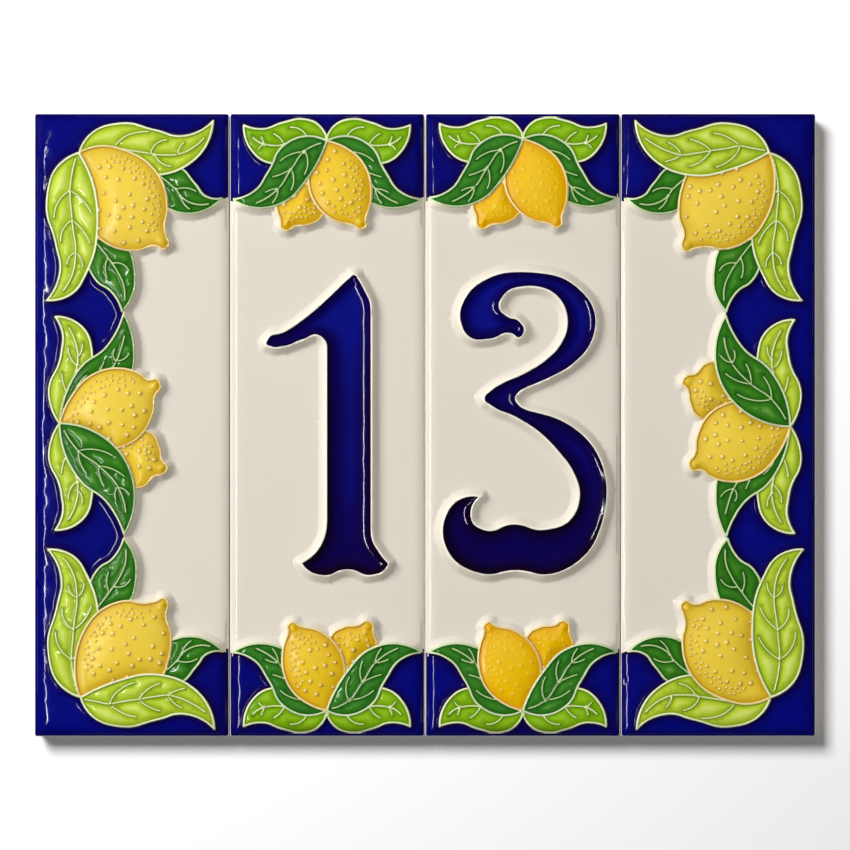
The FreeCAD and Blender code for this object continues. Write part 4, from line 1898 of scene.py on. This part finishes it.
    def draw_pores(self, sketch: Sketch) -> None:
        """Draw each pore as its middle and three rings of points round it.

        Args:
            sketch: The sketch so far, which is changed.
        """
        spots: list[complex] = []
        for motif in self.motifs:
            for knot in motif.spots():
                spots.append(knot.place)
                for reach, count in ((0.55, 6), (1.15, 8), (1.7, 8)):
                    size = reach * knot.radius
                    spots += [knot.place + size * unit(k * 2 * math.pi / count) for k in range(count)]
        sketch.scatter(np.array(spots), 0.09)

    def draw_grid(self, sketch: Sketch) -> None:
        """Fill the rest of the face with a staggered grid of points.

        Args:
            sketch: The sketch so far, which is changed.
        """
        half = self.face_half()
        columns = np.arange(-half.real + 0.3, half.real, self.column_gap)
        lines = np.arange(-half.imag + 0.3, half.imag, self.line_gap)
        stagger = self.column_gap / 2 * (np.arange(len(lines)) % 2)
        grid = columns[None, :] + 1j * lines[:, None] + stagger[:, None]
        sketch.scatter(grid[np.abs(grid.real) < half.real], 0.5)

    def build(self) -> bpy.types.Object:
        """Make the tile's closed mesh, with its glazes and its true surface directions.

        Returns:
            The tile as an object.
        """
        shell, last = self.glazed_face()
        last = self.add_side(shell, last)
        flat_from = len(shell.corners)
        self.add_back(shell, last)
        return self.finished_mesh(shell, flat_from)

    def glazed_face(self) -> tuple[Shell, list[int]]:
        """Make the mesh of the tile's face.

        Returns:
            The mesh, and the numbers of the points of the ring round it.
        """
        flat, faces, origins = self.sketch().triangles()
        face = self.surface(flat)
        glaze = list(self.surface(flat[np.array(faces)].mean(axis=1)).glaze)
        heights = list(self.thickness + face.height)
        normals = [Vector((-slope.real, -slope.imag, 1.0)).normalized() for slope in face.slope]
        shell = Shell(list(flat), heights, normals, list(face.pool), list(face.proud), faces, glaze)
        numbers = {origin: number for number, group in enumerate(origins) for origin in group}
        count = len(self.ring(self.edge_round, self.inner_corner)[0])
        return shell, [numbers[k] for k in range(count)]

    def stages(self) -> list[Stage]:
        """List the rings from the face's edge over the rounded rim and down the side.

        Returns:
            The rings, the last one round the back.
        """
        stages = []
        for k in range(1, 6):
            lean = k * math.pi / 10
            inset = self.edge_round * (1 - math.sin(lean))
            corner = self.inner_corner + (self.outer_corner - self.inner_corner) * math.sin(lean)
            drop = self.edge_round * (1 - math.cos(lean))
            level = self.thickness - drop - self.pillow * math.cos(lean)
            stages.append(Stage(inset, corner, level, lean, Glaze.RIDGE if k > 3 else None))
        glaze_end = self.thickness - self.edge_round - self.glazed_side
        for level, wear in ((glaze_end, Glaze.WHITE), (self.back_bevel, Glaze.BISCUIT)):
            stages.append(Stage(0.0, self.outer_corner, level, math.pi / 2, wear))
        stages.append(Stage(self.back_bevel, self.outer_corner, 0.0, 0.75 * math.pi, Glaze.BISCUIT))
        return stages

    def add_side(self, shell: Shell, last: list[int]) -> list[int]:
        """Add the rounded rim and the side.

        Args:
            shell: The mesh so far, which is changed.
            last: The points of the ring round the face.

        Returns:
            The points of the ring round the back.
        """
        for stage in self.stages():
            points, outs = self.ring(stage.inset, stage.corner)
            pale = self.white_ground().contains(points * 0.998)
            ground = np.where(pale, Glaze.WHITE.value, Glaze.COBALT.value)
            ring = []
            for point, out in zip(points, outs):
                away = out * math.sin(stage.lean)
                normal = Vector((away.real, away.imag, math.cos(stage.lean)))
                ring.append(shell.add(point, stage.level, normal, self.side_depth))
            for k, own in enumerate(ring):
                after = (k + 1) % len(ring)
                shell.corners += [(last[k], own, ring[after]), (last[k], ring[after], last[after])]
                shell.glaze += [stage.wear.value if stage.wear else ground[k]] * 2
            last = ring
        return last

    def add_back(self, shell: Shell, last: list[int]) -> None:
        """Add the bare back: a flat field and three pressed channels with sloping sides.

        Args:
            shell: The mesh so far, which is changed.
            last: The points of the ring round the back.
        """
        sketch = Sketch()
        sketch.loop(self.ring(self.back_bevel, self.outer_corner)[0])
        depths = [0.0] * len(last)
        for offset in (-self.channel_pitch, 0.0, self.channel_pitch):
            for inset, depth in ((0.0, 0.0), (self.channel_slope, self.channel_depth)):
                ring = self.channel_ring(offset, inset)
                sketch.loop(ring)
                depths += [depth] * len(ring)
        points, faces, origins = sketch.triangles()
        numbers = list(last)
        for point, group in zip(points[len(last) :], origins[len(last) :]):
            numbers.append(shell.add(point, depths[group[0]], Vector((0, 0, -1)), 0.0))
        for one, two, three in faces:
            shell.corners.append((numbers[one], numbers[three], numbers[two]))
            shell.glaze.append(Glaze.BISCUIT.value)

    def finished_mesh(self, shell: Shell, flat_from: int) -> bpy.types.Object:
        """Stand the mesh against the wall and give it its layers of values.

        Args:
            shell: The closed mesh.
            flat_from: The first of the back's triangles, which look the way they face.

        Returns:
            The tile as an object.
        """
        turn = -1 if self.half_turn else 1
        spots = [
            (MM * (self.place + turn * point.real), -MM * level, MM * turn * point.imag)
            for point, level in zip(shell.plane, shell.heights)
        ]
        mesh = bpy.data.meshes.new(self.name)
        mesh.from_pydata(spots, [], shell.corners)
        mesh.polygons.foreach_set("use_smooth", [True] * len(shell.corners))
        mesh.polygons.foreach_set("material_index", [int(number) for number in shell.glaze])
        # The layers: the pool share, partly painted shade where it is low, and the pale pore tops, glaze
        # break with a painted highlight.
        for title, values in (("pool_depth_and_shade", shell.depths), ("glaze_break_and_highlight", shell.prouds)):
            layer = mesh.attributes.new(title, "FLOAT", "POINT")
            layer.data.foreach_set("value", [float(value) for value in values])
        looks = [(turn * normal.x, -normal.z, turn * normal.y) for normal in shell.normals]
        smooth = [looks[corner] for triangle in shell.corners[:flat_from] for corner in triangle]
        back = [tuple(mesh.polygons[k].normal) for k in range(flat_from, len(shell.corners))]
        mesh.normals_split_custom_set(smooth + [look for look in back for _ in range(3)])
        mesh.validate()
        mesh.update()
        tile = bpy.data.objects.new(self.name, mesh)
        bpy.context.collection.objects.link(tile)
        return tile


@dataclass
class EndTile(ReliefTile):
    """An end tile: a lemon cluster in each corner and one half way up, with cobalt outside them."""

    corner: complex = -13.3 + 69.6j
    middle: complex = -18.2 + 0.4j
    lower_shift: float = 0.35

    def __post_init__(self) -> None:
        """Stand the motifs on the tile, from back to front."""
        top = Placing(self.corner)
        low = Placing(self.corner.conjugate(), mirror_y=-1, shift=self.lower_shift)
        low_lemon = Placing(self.corner.conjugate(), mirror_y=-1)
        mid = Placing(self.middle)
        mid_down = Placing(self.middle, mirror_y=-1)
        self.motifs = [
            SIDE_DARK_LEAF.motif(top, Glaze.DARK_GREEN),
            LOW_DARK_LEAF.motif(top, Glaze.DARK_GREEN),
            REACHING_LEAF.motif(top, Glaze.LIME),
            UPPER_LEMON.motif(top),
            HANGING_LEAF.motif(top, Glaze.LIME),
            MIDDLE_LIGHT_LEAF.motif(mid, Glaze.LIME),
            MIDDLE_LIGHT_LEAF.motif(mid_down, Glaze.LIME),
            MIDDLE_UPPER_DARK_LEAF.motif(mid, Glaze.DARK_GREEN),
            MIDDLE_SMALL_LEMON.motif(mid),
            MIDDLE_LEMON.motif(mid),
            MIDDLE_LOWER_DARK_LEAF.motif(mid, Glaze.DARK_GREEN),
            LOW_DARK_LEAF.motif(low, Glaze.DARK_GREEN),
            SIDE_DARK_LEAF.motif(low, Glaze.DARK_GREEN),
            HANGING_LEAF.motif(low, Glaze.LIME),
            LOWER_LEMON.motif(low_lemon),
            FRONT_REACHING_LEAF.motif(low, Glaze.LIME),
        ]
        side, hanging = SIDE_DARK_LEAF, LOW_DARK_LEAF
        corner_path = [side.tip, *side.midrib[::-1], UPPER_LEMON.middle, *hanging.midrib, hanging.tip]
        upper, lower = MIDDLE_UPPER_DARK_LEAF, MIDDLE_LOWER_DARK_LEAF
        middle_path = [upper.tip, *upper.midrib, 6.0 + 3.0j, *lower.midrib, lower.tip]
        chain = top.put(corner_path) + mid.put(middle_path) + low.put(corner_path)[::-1]
        edge = self.width / 2 + 1
        self.white_area = [complex(edge, chain[0].imag), *chain, complex(edge, chain[-1].imag)]


@dataclass
class DigitTile(ReliefTile):
    """A tile with a digit between two lemon clusters."""

    digit: Sequence[Sequence[complex]] = ()
    top: complex = 73.1j
    top_drop: float = 0.0
    lemon: Glaze = Glaze.SUNNY
    bold: float = 1.0

    def __post_init__(self) -> None:
        """Stand the motifs on the tile, from back to front."""
        top = Placing(self.top - 1j * self.top_drop)
        low = Placing(-self.top, -1, -1)
        edge = self.width / 2 + 1
        for own, mirrored in ((top, replace(top, mirror_x=-1)), (low, replace(low, mirror_x=1))):
            self.motifs += [
                NUMBER_LIGHT_LEAF.motif(own, Glaze.LEAF_GREEN),
                NUMBER_LIGHT_LEAF.motif(mirrored, Glaze.LEAF_GREEN),
                NUMBER_SMALL_LEMON.motif(own, self.lemon, self.bold),
                NUMBER_DARK_LEAF.motif(mirrored, Glaze.FERN),
                NUMBER_LEMON.motif(own, self.lemon, self.bold),
                NUMBER_DARK_LEAF.motif(own, Glaze.FERN),
            ]
            path = [*NUMBER_DARK_LEAF.midrib, NUMBER_DARK_LEAF.tip]
            chain = own.put(path)[::-1] + mirrored.put(path)
            ends = [complex(math.copysign(edge, spot.real), spot.imag) for spot in (chain[0], chain[-1])]
            self.white_area += [ends[0], *chain, ends[1]]
        self.motifs.append(DigitMotif(closed_outline(self.digit), Glaze.DIGIT, crest=1.9, run=2.25))


@dataclass(frozen=True)
class LampPlan:
    """Where a lamp stands, how large and strong it is, and what it does."""

    place: tuple[float, float, float]
    width: float
    height: float
    power: float
    soft: bool = True
    glint: bool = False
    wall: bool = True
    tiles: bool = True


class Lamp(Enum):
    """The studio's lamps."""

    KEY = LampPlan((-1.1, -0.78, 0.44), 0.6, 0.6, 19.2, wall=False)
    SOFT = LampPlan((-0.15, -0.8, 0.25), 0.8, 0.8, 3.95, wall=False)
    SIDE = LampPlan((0.6, -0.32, -0.15), 0.4, 0.4, 0.65, wall=False)
    DROP = LampPlan((-0.3, -0.62, 0.32), 0.25, 0.28, 6.8, tiles=False)
    FLARE = LampPlan((-1.1, -0.78, 0.44), 0.6, 0.6, 5.5, soft=False, glint=True, wall=False)
    STRIP = LampPlan((-0.36, -0.76, -0.05), 0.012, 0.42, 0.63, soft=False, glint=True, wall=False)
    BEHIND = LampPlan((0.3, 0.7, 0.5), 0.5, 0.5, 9.0)


@dataclass
class Studio:
    """The wall behind the plaque, the lamps and the camera."""

    frame_width: float = 0.2181
    front: float = 0.008
    lens: float = 100.0
    sensor: float = 36.0
    wall_size: float = 3.0
    wall_gap: float = 0.0002

    def wall(self) -> bpy.types.Object:
        """Hang the white wall, which is only there from its front.

        Returns:
            The wall.
        """
        half = self.wall_size / 2
        mesh = bpy.data.meshes.new("wall")
        spots = [(-half, 0, -half), (half, 0, -half), (half, 0, half), (-half, 0, half)]
        mesh.from_pydata(spots, [], [(0, 1, 2, 3)])
        wall = bpy.data.objects.new("wall", mesh)
        bpy.context.collection.objects.link(wall)
        wall.location.y = self.wall_gap
        material = bpy.data.materials.new("white_wall")
        material.use_nodes = True
        nodes, links = material.node_tree.nodes, material.node_tree.links
        paint = nodes["Principled BSDF"]
        paint.inputs["Base Color"].default_value = (1.0, 1.0, 1.0, 1.0)
        paint.inputs["Roughness"].default_value = 0.9
        paint.inputs["Specular IOR Level"].default_value = 0.0
        paint.inputs["Emission Color"].default_value = (1.0, 1.0, 1.0, 1.0)
        paint.inputs["Emission Strength"].default_value = 0.15
        clear = nodes.new("ShaderNodeBsdfTransparent")
        side = nodes.new("ShaderNodeNewGeometry")
        mix = nodes.new("ShaderNodeMixShader")
        links.new(side.outputs["Backfacing"], mix.inputs["Fac"])
        links.new(paint.outputs["BSDF"], mix.inputs[1])
        links.new(clear.outputs["BSDF"], mix.inputs[2])
        links.new(mix.outputs["Shader"], nodes["Material Output"].inputs["Surface"])
        mesh.materials.append(material)
        wall.visible_shadow = False
        wall.visible_diffuse = False
        return wall

    def lamps(self, wall: bpy.types.Object) -> None:
        """Light the plaque from the left and from the upper left.

        Args:
            wall: The wall, which some of the lamps leave alone.
        """
        only_wall = bpy.data.collections.new("only_wall")
        only_wall.objects.link(wall)
        spared = bpy.data.collections.new("spared")
        spared.objects.link(wall)
        spared.collection_objects[0].light_linking.link_state = "EXCLUDE"
        for lamp in Lamp:
            plan = lamp.value
            light = bpy.data.lights.new(lamp.name.lower(), "AREA")
            light.shape = "RECTANGLE"
            light.size, light.size_y = plan.width, plan.height
            light.energy = plan.power
            holder = bpy.data.objects.new(lamp.name.lower(), light)
            bpy.context.collection.objects.link(holder)
            holder.location = plan.place
            holder.rotation_euler = (-Vector(plan.place)).to_track_quat("-Z", "Y").to_euler()
            holder.visible_diffuse = plan.soft
            holder.visible_glossy = plan.glint
            if not plan.wall:
                holder.light_linking.receiver_collection = spared
            if not plan.tiles:
                holder.light_linking.receiver_collection = only_wall

    def world(self) -> None:
        """Set the dim room that the glazes reflect."""
        world = bpy.data.worlds.new("room")
        bpy.context.scene.world = world
        world.use_nodes = True
        world.node_tree.nodes["Background"].inputs["Color"].default_value = (1.0, 1.0, 1.0, 1.0)
        world.node_tree.nodes["Background"].inputs["Strength"].default_value = 0.02

    def camera(self) -> None:
        """Stand the camera straight in front of the plaque."""
        camera = bpy.data.cameras.new("camera")
        camera.lens = self.lens
        camera.sensor_width = self.sensor
        camera.clip_start = 0.01
        holder = bpy.data.objects.new("camera", camera)
        bpy.context.collection.objects.link(holder)
        holder.location = (0.0, -(self.frame_width * self.lens / self.sensor + self.front), 0.0)
        holder.rotation_euler = (math.pi / 2, 0.0, 0.0)
        bpy.context.scene.camera = holder

    def set_up(self) -> None:
        """Build the whole studio."""
        self.lamps(self.wall())
        self.world()
        self.camera()
        bpy.context.scene.view_settings.view_transform = "Standard"


def main() -> None:
    """Load the frame, build the tiles in order and set up the studio."""
    logging.basicConfig(level=logging.INFO, format="%(message)s")
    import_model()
    materials = {glaze: finish.material() for glaze, finish in FINISHES.items()}
    materials[Glaze.BISCUIT] = BiscuitFinish().material()
    pitch = ReliefTile.width + JOINT
    row = [
        (EndTile("left_end", -1.5 * pitch), "left_end_tile"),
        (DigitTile("digit_1", -0.5 * pitch, digit=DIGIT_1, top_drop=0.4), "digit_1_tile"),
        (DigitTile("digit_3", 0.5 * pitch, digit=DIGIT_3, lemon=Glaze.GOLDEN, bold=0.35), "digit_3_tile"),
        (EndTile("right_end", 1.5 * pitch, half_turn=True), "right_end_tile"),
    ]
    for tile, node in row:
        piece = tile.build()
        for glaze in Glaze:
            piece.data.materials.append(materials[glaze])
        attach(piece, "root")
        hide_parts(node)
        LOG.info("%s: %d triangles", tile.name, len(piece.data.polygons))
    Studio().set_up()


if __name__ == "__main__":
    main()
